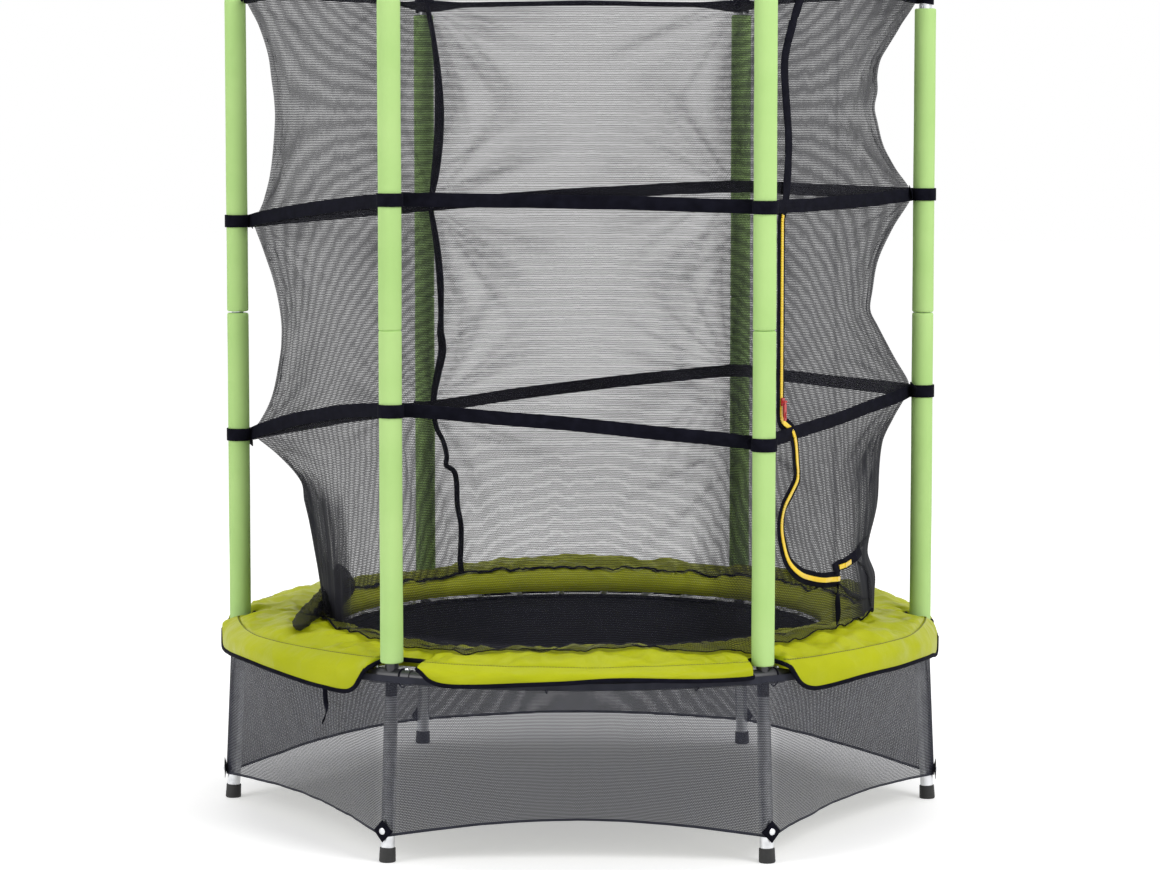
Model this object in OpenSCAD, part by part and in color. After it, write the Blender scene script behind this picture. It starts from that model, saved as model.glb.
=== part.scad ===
// A child's trampoline: six legs and six foam-sleeved poles on a round rail, a
// sprung jumping mat, a flapped safety pad, an enclosure net with a zip, and a skirt.
// Millimetres, Z up, the origin on the floor at the centre.
// Poles are counted anticlockwise from the +X side, 60 degrees apart.

/* [Top rail] */
// Diameter of the round rail on its tube's centre line
rail_ring_d = 1334; // [1240:2:1440]
// Height of the rail's centre line above the floor
rail_h = 335; // [320:5:400]
// Outer diameter of the rail's tube
rail_d = 25; // [24:0.5:28]
// Wall of the rail's tube
rail_wall = 1.5; // [1.2:0.1:2]
// Gap between the ends of two rails inside a T-joint
rail_end_gap = 24; // [18:1:30]

/* [T-joints] */
// Length of a T-joint's sleeve along the rail
sleeve_len = 84; // [80:1:90]
// Wall of the sleeve and of both spigots
joint_wall = 1.5; // [1.2:0.1:2]
// Length of the spigot that holds a pole, above the sleeve
pole_spigot = 60; // [40:2:80]
// Length of the bare spigot between the rail and a leg
leg_gap = 80; // [60:2:90]
// How far that spigot goes into the leg
leg_spigot = 40; // [25:1:60]
// Distance of a clamping screw from the pole's axis
screw_offset = 32; // [31:0.5:34]
// Shank diameter of a clamping screw
screw_d = 4; // [3:0.5:5]
// Head diameter of a clamping screw
screw_head_d = 9; // [7:0.5:10]

/* [Legs] */
// Outer diameter of a leg's tube
leg_d = 25; // [24:0.5:28]
// Wall of a leg's tube
leg_wall = 1.2; // [1:0.1:1.6]
// Angle by which a leg leans outwards
leg_splay = 3; // [0:0.5:5]
// Height of a rubber foot cap
cap_h = 26; // [20:1:40]
// Wall of a foot cap at its mouth
cap_wall = 1.6; // [1.2:0.1:3]
// Thickness of a foot cap under the leg
cap_floor = 5; // [3:0.5:8]

/* [Net poles] */
// Height of the top of the pole caps, which is the overall height
overall_h = 1600; // [1500:5:1700]
// Outer diameter of a net pole's tube
pole_d = 25; // [24:0.5:28]
// Wall of a net pole's tube
pole_wall = 1.2; // [1:0.1:1.6]
// Height at which the upper and lower halves of a pole meet
pole_split_h = 958; // [900:2:1000]
// Length of the swaged end that joins the two halves
swage_len = 55; // [40:1:70]
// Outer diameter of the foam sleeves
foam_d = 42; // [38:1:46]
// Height of the foam's lower end
foam_low_h = 352; // [351:1:368]
// Length of bare pole between the foam and the top of the pole cap
bare_pole_l = 54; // [52:1:70]
// Gap between the lower and the upper foam sleeve
foam_gap = 3; // [2:0.5:12]
// Outer diameter of a pole's end cap
pole_cap_d = 32; // [30:1:36]
// Visible height of a pole's end cap
pole_cap_h = 14; // [8:1:14]

/* [Jumping mat] */
// Radius of the mat
mat_r = 478; // [465:1:480]
// Thickness of the woven mat
mat_t = 2; // [1.5:0.5:3]
// Width of the folded hem round the mat
hem_w = 34; // [28:1:45]
// Thickness of the folded hem
hem_t = 7; // [6:0.5:9]
// Number of springs, and of rings on the mat
spring_count = 36; // [24:6:36]
// Side of the bar that a mat ring is bent from
ring_wire = 3; // [2.5:0.25:3.5]
// Half the width of a mat ring
ring_half_w = 16; // [14:0.5:18]
// Depth of a mat ring from its base to its point
ring_depth = 24; // [20:0.5:28]
// How far a mat ring goes into the hem
ring_in_hem = 10; // [8:0.5:12]

/* [Springs] */
// Outer diameter of a spring's coil
spring_d = 14; // [10:0.5:16]
// Diameter of a spring's wire
spring_wire = 2; // [1.5:0.1:2.4]
// Straight end of a spring between its coil and its hook
spring_lead = 12; // [8:1:18]
// Radius of the hook that goes round the mat ring
hook_r = 5.5; // [5:0.25:6.5]
// How far the rail's end of a spring turns down inside the rail
hook_drop = 6; // [4:0.5:7]

/* [Safety pad] */
// Radius of the pad's opening
pad_inner_r = 485; // [484:1:500]
// Radius of the pad's outer edge, half the overall width
pad_outer_r = 700; // [694:1:720]
// Thickness of the pad at its inner edge
pad_edge_t = 16; // [12:1:20]
// Thickness of the pad at its crown
pad_crown_t = 48; // [38:1:52]
// Thickness of the crown beside each pole, where the notch draws the pad down
pad_pole_t = 31; // [28:1:36]
// Thickness of the crown at the front, where the pad is flattest
pad_front_t = 30; // [28:1:36]
// Radius of the seam where a flap is sewn to the pad's top
pad_seam_r = 668; // [660:1:676]
// Height of that seam above the pad's underside
pad_seam_t = 18; // [14:1:22]
// Drop of a flap's sloping part, from the seam to its full radius
flap_slope_drop = 34; // [28:1:40]
// How far the outer flaps hang below the seam
flap_drop = 54; // [44:1:60]
// How much higher the front flap's edge lies
front_flap_lift = 26; // [0:1:30]
// Distance that a pole's notch reaches in from the rail's centre line
notch_depth = 27; // [25:1:32]
// Angle from a pole's axis to each side of its notch
notch_angle = 3.4; // [3.3:0.1:3.8]
// Side of the piping sewn round the pad's outer edge
piping = 6; // [5:0.5:8]

/* [Enclosure net] */
// Thickness of the net's solid
net_t = 1.5; // [1:0.1:2]
// Radius of the net's lower edge, which lies on the pad
net_foot_r = 499; // [496:1:502]
// Gap between the net's lower edge and the pad's edge height
net_foot_lift = 11; // [11:0.5:14]
// How far the net draws inwards at a pole, midway between two bands
waist_pole = 68; // [40:2:80]
// How far it draws inwards midway between two poles
waist_middle = 14; // [8:1:24]
// How far the part below the lower band draws inwards
waist_low = 22; // [10:1:30]
// Width of the webbing of the bands and of the top hem
band_w = 25; // [20:1:30]
// Thickness of the webbing
band_t = 2; // [1.5:0.1:2.5]
// Mean height of the upper band
upper_band_h = 1172; // [1140:2:1200]
// Mean height of the lower band
lower_band_h = 770; // [740:2:800]
// Gap between the foam and the top hem's webbing
top_hem_gap = 7.5; // [5:0.5:9]
// Thickness of the tape over the net's seam
seam_tape_t = 1; // [0.8:0.1:1.5]

/* [Zip] */
// Distance of the zip from its panel's corner at the front right pole
zip_from_pole = 95; // [85:1:110]
// Width of the zip's tape
zip_tape_w = 24; // [20:1:28]
// Thickness of the tape
zip_tape_t = 0.8; // [0.6:0.1:1.2]
// Width of the zip's coil
zip_coil_w = 6; // [5:0.5:8]
// Thickness of the coil
zip_coil_t = 1.6; // [1.2:0.1:2]
// Height of the slider's middle at rest
slider_h = 822; // [815:1:830]
// Length of the slider
slider_l = 14; // [12:1:16]
// Width of the slider
slider_w = 10; // [9:0.5:12]
// Thickness of the slider
slider_t = 3; // [2.5:0.25:4]
// Diameter of the pin that the pull swings on
pull_pin_d = 2; // [1.6:0.1:2.4]
// Length of the pull
pull_l = 34; // [28:1:38]
// Width of the pull
pull_w = 8; // [7:0.5:9]

/* [Skirt] */
// Gap between the skirt's upper edge and the thickest ties behind it
skirt_slack = 1.6; // [1.4:0.1:3]
// Thickness of the skirt's solid
skirt_t = 1.2; // [1:0.1:1.6]
// Height of the skirt's lower edge at the legs
skirt_low_h = 46; // [40:1:60]
// Rise of the lower edge between two legs
skirt_rise = 24; // [10:1:40]
// How far the lower edge draws inwards between two legs
skirt_draw = 12; // [5:1:25]
// Side of the square tab at each leg
tab_side = 29; // [24:1:32]
// Thickness of a tab
tab_t = 1.5; // [1:0.1:2.5]
// Diameter of the snap on a tab
snap_d = 12; // [10:1:15]
// Height of the snap
snap_h = 2.5; // [2:0.25:4]

/* [Straps] */
// Width of an elastic tie that holds the pad to the rail
tie_w = 6; // [5:0.5:7]
// Thickness of an elastic tie
tie_t = 1.2; // [1:0.1:1.5]
// Width of a loose tie strap
strap_w = 9; // [8:0.5:14]
// Thickness of a loose tie strap
strap_t = 1.2; // [1:0.1:1.6]
// Length of the tie strap that hangs from the pad's front left flap
pad_strap_l = 70; // [50:2:90]
// Length of the tie strap that hangs from the zip's lower end
zip_strap_l = 88; // [70:2:92]

/* [Fits] */
// Clearance on each side between pieces that seat on each other
fit = 0.3; // [0.25:0.05:0.4]

/* [Hidden] */
$fn = 48;
POLES = 6;
STEP = 360 / POLES;
HALF = STEP / 2;

// Colours
BLACK_PAINT = [0.13, 0.13, 0.15];
GALVANISED = [0.72, 0.73, 0.75];
RUBBER = [0.09, 0.09, 0.10];
FOAM_GREEN = [0.70, 0.88, 0.52];
PAD_LIME = [0.78, 0.83, 0.16];
WEBBING = [0.07, 0.07, 0.09];
NET_GREY = [0.25, 0.25, 0.28];
SKIRT_GREY = [0.30, 0.31, 0.36];
MAT_BLACK = [0.06, 0.06, 0.08];
ZIP_YELLOW = [0.95, 0.76, 0.12];
PULL_RED = [0.75, 0.10, 0.10];

// Rail, joints and legs
rail_ring_r = rail_ring_d / 2;
rail_r = rail_d / 2;
sleeve_r = rail_r + fit + joint_wall;
sleeve_half_angle = deg_of(sleeve_len / 2);
rail_end_angle = deg_of(rail_end_gap / 2);
screw_angle = deg_of(screw_offset);
joint_top = rail_h + sleeve_r;
leg_r = leg_d / 2;
leg_spigot_r = leg_r - leg_wall - fit;
leg_run = rail_h / cos(leg_splay);
screw_head_h = 3;
screw_len = 16;
screw_hole_r = screw_d / 2 + 0.2;

// Poles
pole_r = pole_d / 2;
pole_spigot_r = pole_r - pole_wall - fit;
pole_foot = joint_top + fit;
cap_under = overall_h - pole_cap_h;
foam_r = foam_d / 2;
foam_bore_r = pole_r + fit;
foam_bevel = 2;
foam_top_h = overall_h - bare_pole_l;
foam_split = pole_split_h;

// Mat, rings and springs
ring_base_r = mat_r - ring_in_hem;
ring_tip_r = ring_base_r + ring_depth;
ring_slope = atan(ring_half_w / ring_depth);
ring_hole_tip = ring_depth * (1 - ring_wire / (ring_half_w * cos(ring_slope)));
hook_wire_r = spring_wire / 2;
hook_seat = (fit + hook_wire_r) / sin(ring_slope);
hook_centre = ring_base_r + ring_hole_tip - hook_seat + hook_r;
spring_start = hook_centre + hook_r;
rail_bore_r = rail_r - rail_wall;
rail_bore_side = rail_ring_r - rail_bore_r;
spring_end = rail_ring_r - sqrt(pow(rail_bore_r, 2) - pow(hook_drop, 2)) + fit + hook_wire_r;
spring_hole_r = hook_wire_r + 0.6;

// Pad
pad_under = joint_top + fit;
pad_seam_h = pad_under + pad_seam_t;
notch_r = rail_ring_r - notch_depth - rail_r;
reach_angle = 1.2;
drop_angle = 4.4;
flap_wall = 4;
flap_inner_r = pad_seam_r + 3 * flap_wall;
crown_run = 14;
notch_end = notch_angle + reach_angle;
piping_turn_angle = drop_angle / 3;
notch_stations = [
    notch_angle - 0.1, notch_angle + reach_angle / 2, notch_end, notch_end + piping_turn_angle / 2,
    notch_end + piping_turn_angle, notch_end + drop_angle * 0.6, notch_end + drop_angle
];
pad_stations = concat([0], notch_stations, [19.5, HALF, 40.5], [for (k = [6:-1:0]) STEP - notch_stations[k]]);

// Net and bands. An apothem is the distance from the centre to the middle of a straight run.
band_apothem = (rail_ring_r - foam_r - fit - band_t - fit) * cos(HALF);
net_apothem = band_apothem - band_t - fit;
hem_apothem = (rail_ring_r - pole_r - fit - band_t - fit) * cos(HALF);
net_top_apothem = hem_apothem - band_t - fit;
net_low_z = pad_under + pad_edge_t + net_foot_lift;
top_hem_h = foam_top_h + top_hem_gap + band_w / 2;
net_top_z = top_hem_h + band_w / 2 - 3;
// How far each pole's loops sit above or below the mean height of their band
upper_slip = [15, 19, -21, -37, 18, 5];
lower_slip = [35, 33, -45, -51, 44, -16];
ZIP_PANEL = 5;
FRONT_PANEL = 4;
zip_s = -(net_apothem * tan(HALF) - zip_from_pole);
zip_phi = atan(zip_s / net_apothem);
zip_half_phi = atan((zip_s + zip_tape_w / 2) / net_apothem) - zip_phi;
coil_half_phi = zip_half_phi * zip_coil_w / zip_tape_w;
SEAM_PANEL = 1;
// Rows of the net's surface as [stretch, share of it]: 0 below the lower band, 1 between the bands, 2 above
zip_run_low = 0.29;
zip_run_high = 0.35;
low_rows = [[0, 0], [0, 0.15], [0, zip_run_low], [0, zip_run_high], [0, 0.55], [0, 0.8], [0, 0.94]];
mid_rows = [for (v = [0:0.2:0.81]) [1, v]];
high_rows = [for (v = [0, 0.06, 0.12, 0.3, 0.5, 0.7, 0.88, 0.94, 1]) [2, v]];
net_rows = concat(low_rows, mid_rows, high_rows);
plain_columns = [-30, -26, -20, -10, 0, 10, 20, 26, 30];
seam_columns = [-30, -26, -20, -10, 0, 10, 20, 26.8, 28.8, 30];
zip_columns = [-30, -27, zip_phi - zip_half_phi, zip_phi + zip_half_phi, -15, -8, 0, 8, 16, 23, 27, 30];

// Zip: heights and the distances of its layers from the panel's middle plane
tape_seat = net_apothem + fit;
coil_seat = tape_seat + zip_tape_t + fit;
slider_seat = coil_seat + zip_coil_t + fit;
zip_low_end = band_z(lower_slip, lower_band_h, ZIP_PANEL, zip_share()) + band_w / 2 + 1;
zip_high_end = band_z(upper_slip, upper_band_h, ZIP_PANEL, zip_share()) - band_w / 2 - 1;
pin_out = slider_seat + slider_t + 3;
pin_play = 0.1;
pull_t = 2.4;
slider_ear = 1.2;
pull_slack = 0.3;

// Skirt, tabs and ties
tie_offsets = [2, 25.4, 48.6];
skirt_top_r = rail_ring_r + sleeve_r + fit + tie_t + skirt_slack;
skirt_top_z = rail_h + 4;
skirt_columns = [-HALF, -25, -17, -10, tie_offsets[1] - HALF, 0, 8.5, 17, 25, HALF];
skirt_rows = [0, 0.25, 0.5, 0.75, 1];
tab_z = 58;
PAD_STRAP_ANGLE = 228.8;
strap_fold = strap_w / 3;

function deg_of(arc) = arc / rail_ring_r * 180 / PI;
function polar(r, a, z) = [r * cos(a), r * sin(a), z];
function mix(a, b, t) = a + (b - a) * t;
function smooth(t) = let (c = min(1, max(0, t))) c * c * (3 - 2 * c);
function pole_angle(i) = i * STEP;

// ---- Solids from grids of points ----

// A sheet between two grids of the same size, front[i][j] and back[i][j]
module slab(front, back) {
    n = len(front);
    m = len(front[0]);
    function f(i, j) = i * m + j;
    function b(i, j) = n * m + i * m + j;
    quads = concat(
        [for (i = [0:n - 2], j = [0:m - 2]) [f(i, j), f(i, j + 1), f(i + 1, j + 1), f(i + 1, j)]],
        [for (i = [0:n - 2], j = [0:m - 2]) [b(i, j), b(i + 1, j), b(i + 1, j + 1), b(i, j + 1)]],
        [for (j = [0:m - 2]) [f(0, j), b(0, j), b(0, j + 1), f(0, j + 1)]],
        [for (j = [0:m - 2]) [f(n - 1, j), f(n - 1, j + 1), b(n - 1, j + 1), b(n - 1, j)]],
        [for (i = [0:n - 2]) [f(i, 0), f(i + 1, 0), b(i + 1, 0), b(i, 0)]],
        [for (i = [0:n - 2]) [f(i, m - 1), b(i, m - 1), b(i + 1, m - 1), f(i + 1, m - 1)]]
    );
    polyhedron(concat([for (r = front) each r], [for (r = back) each r]), triangles(quads));
}

// A closed ring through sections that all have the same number of points
module ring_of(sections) {
    n = len(sections);
    m = len(sections[0]);
    function p(i, j) = (i % n) * m + j % m;
    quads = [for (i = [0:n - 1], j = [0:m - 1]) [p(i, j), p(i, j + 1), p(i + 1, j + 1), p(i + 1, j)]];
    polyhedron([for (s = sections) each s], triangles(quads));
}

function triangles(quads) = [for (q = quads) each [[q[0], q[2], q[1]], [q[0], q[3], q[2]]]];

// Repeats its children round the axis, at each pole
module at_poles() {
    for (i = [0:POLES - 1]) rotate(pole_angle(i)) children();
}

// A leg's own frame: its axis is -Z, from the rail's centre line outwards to the floor
module along_leg() {
    translate([rail_ring_r, 0, rail_h]) rotate([0, -leg_splay, 0]) children();
}

module tube(r, wall, z0, z1) {
    translate([0, 0, z0]) difference() {
        cylinder(r = r, h = z1 - z0);
        translate([0, 0, -1]) cylinder(r = r - wall, h = z1 - z0 + 2);
    }
}

// ---- Rail, joints and legs ----

// One sixth of the rail, from T-joint to T-joint, drilled for its springs and screws
module frame_rail(i) {
    color(BLACK_PAINT) rotate(pole_angle(i)) difference() {
        rotate(rail_end_angle) rotate_extrude(angle = STEP - 2 * rail_end_angle)
            translate([rail_ring_r, rail_h]) difference() {
                circle(r = rail_r);
                circle(r = rail_r - rail_wall);
            }
        for (k = [0:spring_count / POLES - 1])
            rotate(spring_angle(k)) translate([rail_ring_r - rail_r - 3, 0, rail_h])
                rotate([0, 90, 0]) cylinder(r = spring_hole_r, h = rail_wall + 5);
        for (a = [screw_angle, STEP - screw_angle])
            rotate(a) translate([rail_ring_r, 0, rail_h]) cylinder(r = screw_hole_r, h = rail_d);
    }
}

function spring_angle(k) = (k + 0.5) * 360 / spring_count;

// The welded joint: a sleeve over two rail ends, a spigot for the pole and one for the leg
module t_joint(i) {
    color(BLACK_PAINT) rotate(pole_angle(i)) difference() {
        union() {
            rotate(-sleeve_half_angle) rotate_extrude(angle = 2 * sleeve_half_angle)
                translate([rail_ring_r, rail_h]) circle(r = sleeve_r);
            translate([rail_ring_r, 0, rail_h]) cylinder(r = pole_spigot_r, h = sleeve_r + pole_spigot);
            along_leg() translate([0, 0, -leg_gap - leg_spigot])
                cylinder(r = leg_spigot_r, h = leg_gap + leg_spigot);
        }
        rotate(-sleeve_half_angle - 1) rotate_extrude(angle = 2 * sleeve_half_angle + 2)
            translate([rail_ring_r, rail_h]) circle(r = rail_r + fit);
        translate([rail_ring_r, 0, rail_h]) cylinder(r = pole_spigot_r - joint_wall, h = sleeve_r + pole_spigot + 1);
        along_leg() translate([0, 0, -leg_gap - leg_spigot - 1])
            cylinder(r = leg_spigot_r - joint_wall, h = leg_gap + leg_spigot + 1);
        for (a = [-screw_angle, screw_angle])
            rotate(a) translate([rail_ring_r, 0, rail_h]) cylinder(r = screw_hole_r, h = rail_d);
    }
}

// Two pan-headed screws on each T-joint, through the sleeve into the rails
module joint_screws() {
    color(GALVANISED) at_poles() for (a = [-screw_angle, screw_angle])
        rotate(a) translate([rail_ring_r, 0, joint_top + fit / 3]) {
            cylinder(r1 = screw_head_d / 2, r2 = screw_head_d / 2 - 1.2, h = screw_head_h);
            translate([0, 0, -screw_len]) cylinder(r = screw_d / 2, h = screw_len + 1);
        }
}

module leg(i) {
    color(GALVANISED) rotate(pole_angle(i)) along_leg()
        tube(leg_r, leg_wall, -(leg_run - cap_floor), -leg_gap);
}

// Tapered rubber cups, cut flat where they stand on the floor
module foot_caps() {
    mouth_r = leg_r + fit + cap_wall;
    sole_r = mouth_r + 0.9;
    color(RUBBER) at_poles() difference() {
        along_leg() translate([0, 0, -leg_run - 1]) rotate_extrude() polygon([
            [0, 0], [sole_r - 1.5, 0], [sole_r, 2.5], [mouth_r, cap_h], [mouth_r - 0.7, cap_h + 1],
            [leg_r + fit, cap_h + 1], [leg_r + fit, cap_floor + 1 - fit], [0, cap_floor + 1 - fit]
        ]);
        translate([rail_ring_r - leg_d, -2 * leg_d, -2 * leg_d]) cube([4 * leg_d, 4 * leg_d, 2 * leg_d]);
    }
}

// ---- Net poles ----

module at_pole(i) {
    rotate(pole_angle(i)) translate([rail_ring_r, 0, 0]) children();
}

// Lower half of a pole, with a swaged end for the upper half
module pole_lower(i) {
    swage_r = pole_r - pole_wall - fit;
    color(GALVANISED) at_pole(i) rotate_extrude() polygon([
        [pole_r - pole_wall, pole_foot], [pole_r, pole_foot], [pole_r, pole_split_h - 3],
        [swage_r, pole_split_h], [swage_r, pole_split_h + swage_len],
        [swage_r - pole_wall, pole_split_h + swage_len], [swage_r - pole_wall, pole_split_h - 2],
        [pole_r - pole_wall, pole_split_h - 6]
    ]);
}

module pole_upper(i) {
    color(GALVANISED) at_pole(i) tube(pole_r, pole_wall, pole_split_h + fit, cap_under - fit);
}

// A foam tube with softened ends
module foam_tube(z0, z1) {
    rotate_extrude() polygon([
        [foam_bore_r, z0], [foam_r - foam_bevel, z0], [foam_r, z0 + foam_bevel],
        [foam_r, z1 - foam_bevel], [foam_r - foam_bevel, z1], [foam_bore_r, z1]
    ]);
}

module foam_sleeves_lower() {
    color(FOAM_GREEN) for (i = [0:POLES - 1]) at_pole(i)
        foam_tube(foam_low_h, foam_split - foam_gap / 2);
}

module foam_sleeves_upper() {
    color(FOAM_GREEN) for (i = [0:POLES - 1]) at_pole(i)
        foam_tube(foam_split + foam_gap / 2, foam_top_h);
}

// Domed caps with a plug that goes down inside the tube
module pole_caps() {
    plug_r = pole_r - pole_wall - fit;
    rim_r = pole_cap_d / 2;
    color(RUBBER) for (i = [0:POLES - 1]) at_pole(i) rotate_extrude() polygon([
        [0, cap_under - 16], [plug_r - 1, cap_under - 16], [plug_r, cap_under - 14], [plug_r, cap_under],
        [rim_r, cap_under], [rim_r, cap_under + pole_cap_h * 0.45],
        [rim_r * 0.86, cap_under + pole_cap_h * 0.8], [rim_r * 0.5, overall_h], [0, overall_h]
    ]);
}

// ---- Mat and springs ----

// The mat with its folded hem, which has a pocket for each ring
module jump_mat() {
    color(MAT_BLACK) difference() {
        rotate_extrude() polygon([
            [0, rail_h - mat_t / 2], [mat_r - hem_w, rail_h - mat_t / 2], [mat_r - hem_w + 2, rail_h - hem_t / 2],
            [mat_r - 1, rail_h - hem_t / 2], [mat_r, rail_h - hem_t / 2 + 1], [mat_r, rail_h + hem_t / 2 - 1],
            [mat_r - 1, rail_h + hem_t / 2], [mat_r - hem_w + 2, rail_h + hem_t / 2],
            [mat_r - hem_w, rail_h + mat_t / 2], [0, rail_h + mat_t / 2]
        ]);
        at_springs() translate([ring_base_r - fit, -ring_half_w - fit, rail_h - ring_wire / 2 - fit])
            cube([ring_in_hem + 5, 2 * (ring_half_w + fit), ring_wire + 2 * fit]);
    }
}

module at_springs() {
    for (k = [0:spring_count - 1]) rotate(spring_angle(k)) children();
}

// Triangular steel rings, with their points towards the rail
module mat_rings() {
    hole_base = ring_half_w * (1 - ring_wire / ring_depth) - ring_wire / cos(ring_slope);
    color(GALVANISED) at_springs() translate([ring_base_r, 0, rail_h - ring_wire / 2])
        linear_extrude(ring_wire) difference() {
            polygon([[0, -ring_half_w], [ring_depth, 0], [0, ring_half_w]]);
            polygon([[ring_wire, -hole_base], [ring_hole_tip, 0], [ring_wire, hole_base]]);
        }
}

// A spring lies along a radius: a hook round the mat ring, the coil, and an end inside the rail
module springs() {
    coil_start = spring_start + spring_lead;
    coil_end = rail_bore_side - spring_lead;
    coil_r = spring_d / 2;
    color(GALVANISED) at_springs() translate([0, 0, rail_h]) {
        rotate([0, 90, 0]) rotate_extrude() polygon([
            [0, spring_start - hook_wire_r], [hook_wire_r, spring_start - hook_wire_r],
            [hook_wire_r, coil_start], [coil_r, coil_start + 4], [coil_r, coil_end - 4],
            [hook_wire_r, coil_end], [hook_wire_r, spring_end], [0, spring_end]
        ]);
        translate([spring_end, 0, -hook_drop]) cylinder(r = hook_wire_r, h = hook_drop);
        translate([hook_centre, 0, 0]) rotate([90, 0, 0]) rotate_extrude(angle = 270)
            translate([hook_r, 0]) circle(r = hook_wire_r);
    }
}

// ---- Safety pad ----

// Angle from the nearest pole, for an angle measured from any pole
function from_pole(a) = let (b = a % STEP) min(b, STEP - b);
function is_front(a) = floor(a / STEP) == FRONT_PANEL;
// 0 in a notch, 1 where the flap has its full reach
function flap_share(a) = smooth((from_pole(a) - notch_angle) / reach_angle);
function pad_reach(a) = mix(notch_r, pad_outer_r, flap_share(a));
function flap_low(a) = pad_seam_h - flap_drop + (is_front(a) ? front_flap_lift : 0);
function pad_hem_z(a) =
    mix(pad_under, flap_low(a), smooth((from_pole(a) - notch_end) / drop_angle));
function crown_t(a) =
    mix(pad_pole_t, is_front(a) ? pad_front_t : pad_crown_t, smooth(from_pole(a) / crown_run));

// The pad's outline at one angle: crowned on top, with a flap that slopes out over the rail
function pad_section(a) = let (
        r0 = pad_inner_r,
        r1 = pad_reach(a),
        seam = mix(notch_r - 2, pad_seam_r, flap_share(a)),
        w = seam - r0,
        t = crown_t(a),
        low = pad_hem_z(a),
        slope_end = max(low + 1, pad_seam_h - flap_slope_drop)
    ) [
        for (p = [
            [r0, pad_under],
            [r0, pad_under + pad_edge_t],
            [r0 + 0.22 * w, pad_under + mix(pad_edge_t, t, 0.72)],
            [r0 + 0.48 * w, pad_under + t],
            [r0 + 0.80 * w, pad_under + mix(pad_seam_t, t, 0.66)],
            [seam, pad_seam_h],
            [r1, slope_end],
            [r1, low],
            [r1 - flap_wall, low - 0.01],
            [r1 - flap_wall - 0.5, max(low - 0.015, slope_end - flap_wall)],
            [min(r1 - flap_wall - 2, flap_inner_r), pad_under - 0.02]
        ]) polar(p[0], a, p[1])
    ];

pad_angles = [for (i = [0:POLES - 1], s = pad_stations) i * STEP + s];

module safety_pad() {
    color(PAD_LIME) ring_of([for (a = pad_angles) pad_section(a)]);
}

// Piping goes round the notches above the rail, and along the flaps below their edge
function piping_turn(a) = smooth((from_pole(a) - notch_end) / piping_turn_angle);
function piping_centre(a) = let (
        k = piping_turn(a),
        gap = piping / 2 + fit,
        out = pad_reach(a) + gap,
        low = pad_hem_z(a)
    ) k < 0.5 ? [out, mix(low + piping / 2, low - gap, k * 2)]
              : [mix(out, pad_reach(a) - flap_wall / 2 - 1, k * 2 - 1), low - gap];
function piping_section(a) = let (c = piping_centre(a), h = piping / 2) [
        polar(c[0] - h, a, c[1] - h), polar(c[0] - h, a, c[1] + h),
        polar(c[0] + h, a, c[1] + h), polar(c[0] + h, a, c[1] - h)
    ];

module pad_piping() {
    color(WEBBING) ring_of([for (a = pad_angles) piping_section(a)]);
}

// Elastic ties round the rail, the first of each panel round a T-joint's sleeve
module pad_ties() {
    color(WEBBING) at_poles() for (a = tie_offsets)
        rotate(a) tie((a < sleeve_half_angle ? sleeve_r : rail_r) + fit);
}

module tie(r) {
    translate([rail_ring_r, tie_w / 2, rail_h]) rotate([90, 0, 0]) difference() {
        cylinder(r = r + tie_t, h = tie_w);
        translate([0, 0, -1]) cylinder(r = r, h = tie_w + 2);
    }
}

// ---- Enclosure net ----

// Height of a band at a share t of the way along panel i
function band_z(slip, mean, i, t) = mean + mix(slip[i % POLES], slip[(i + 1) % POLES], t);
// That share, from the angle phi off the panel's middle
function share(phi) = 0.5 + tan(phi) / (2 * tan(HALF));
function zip_share() = share(zip_phi);

function waist(phi, pole, middle) = let (k = pow(abs(phi) / HALF, 3)) mix(middle, pole, k);
// The zip is stiff, so the net runs straight up beside it between the bands
function zip_relief(i, phi) = i == ZIP_PANEL ? smooth((abs(phi - zip_phi) - zip_half_phi) / 4) : 1;

// Height and radius of the net's outer face on panel i, phi off its middle, at a row
function net_z(i, phi, row) = let (
        t = share(phi),
        low = band_z(lower_slip, lower_band_h, i, t),
        high = band_z(upper_slip, upper_band_h, i, t)
    ) row[0] == 0 ? mix(net_low_z, low, row[1])
    : row[0] == 1 ? mix(low, high, row[1])
    : mix(high, net_top_z, row[1]);
function net_r(i, phi, row) = let (belly = sin(180 * row[1]), line = net_apothem / cos(phi))
      row[0] == 0 ? mix(net_foot_r, line, row[1]) - belly * waist(phi, waist_low, waist_low / 2)
    : row[0] == 1 ? line - belly * waist(phi, waist_pole, waist_middle) * zip_relief(i, phi)
    : mix(net_apothem, net_top_apothem, row[1] * row[1]) / cos(phi)
        - belly * waist(phi, waist_pole, waist_middle);
function net_point(i, phi, row, out) =
    polar(net_r(i, phi, row) + out, i * STEP + HALF + phi, net_z(i, phi, row));

// A patch of cloth that lies a distance out from the net's outer face
module net_patch(i, columns, rows, out, t) {
    slab([for (r = rows) [for (c = columns) net_point(i, c, r, out + t)]],
         [for (r = rows) [for (c = columns) net_point(i, c, r, out)]]);
}

// Panels stop just short of each other at the poles
module net_panel(i) {
    edge = HALF - atan(fit / 2 / net_foot_r);
    base = i == ZIP_PANEL ? zip_columns : i == SEAM_PANEL ? seam_columns : plain_columns;
    columns = [for (c = base) max(-edge, min(edge, c))];
    color(NET_GREY) net_patch(i, columns, net_rows, -net_t, net_t);
}

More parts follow.
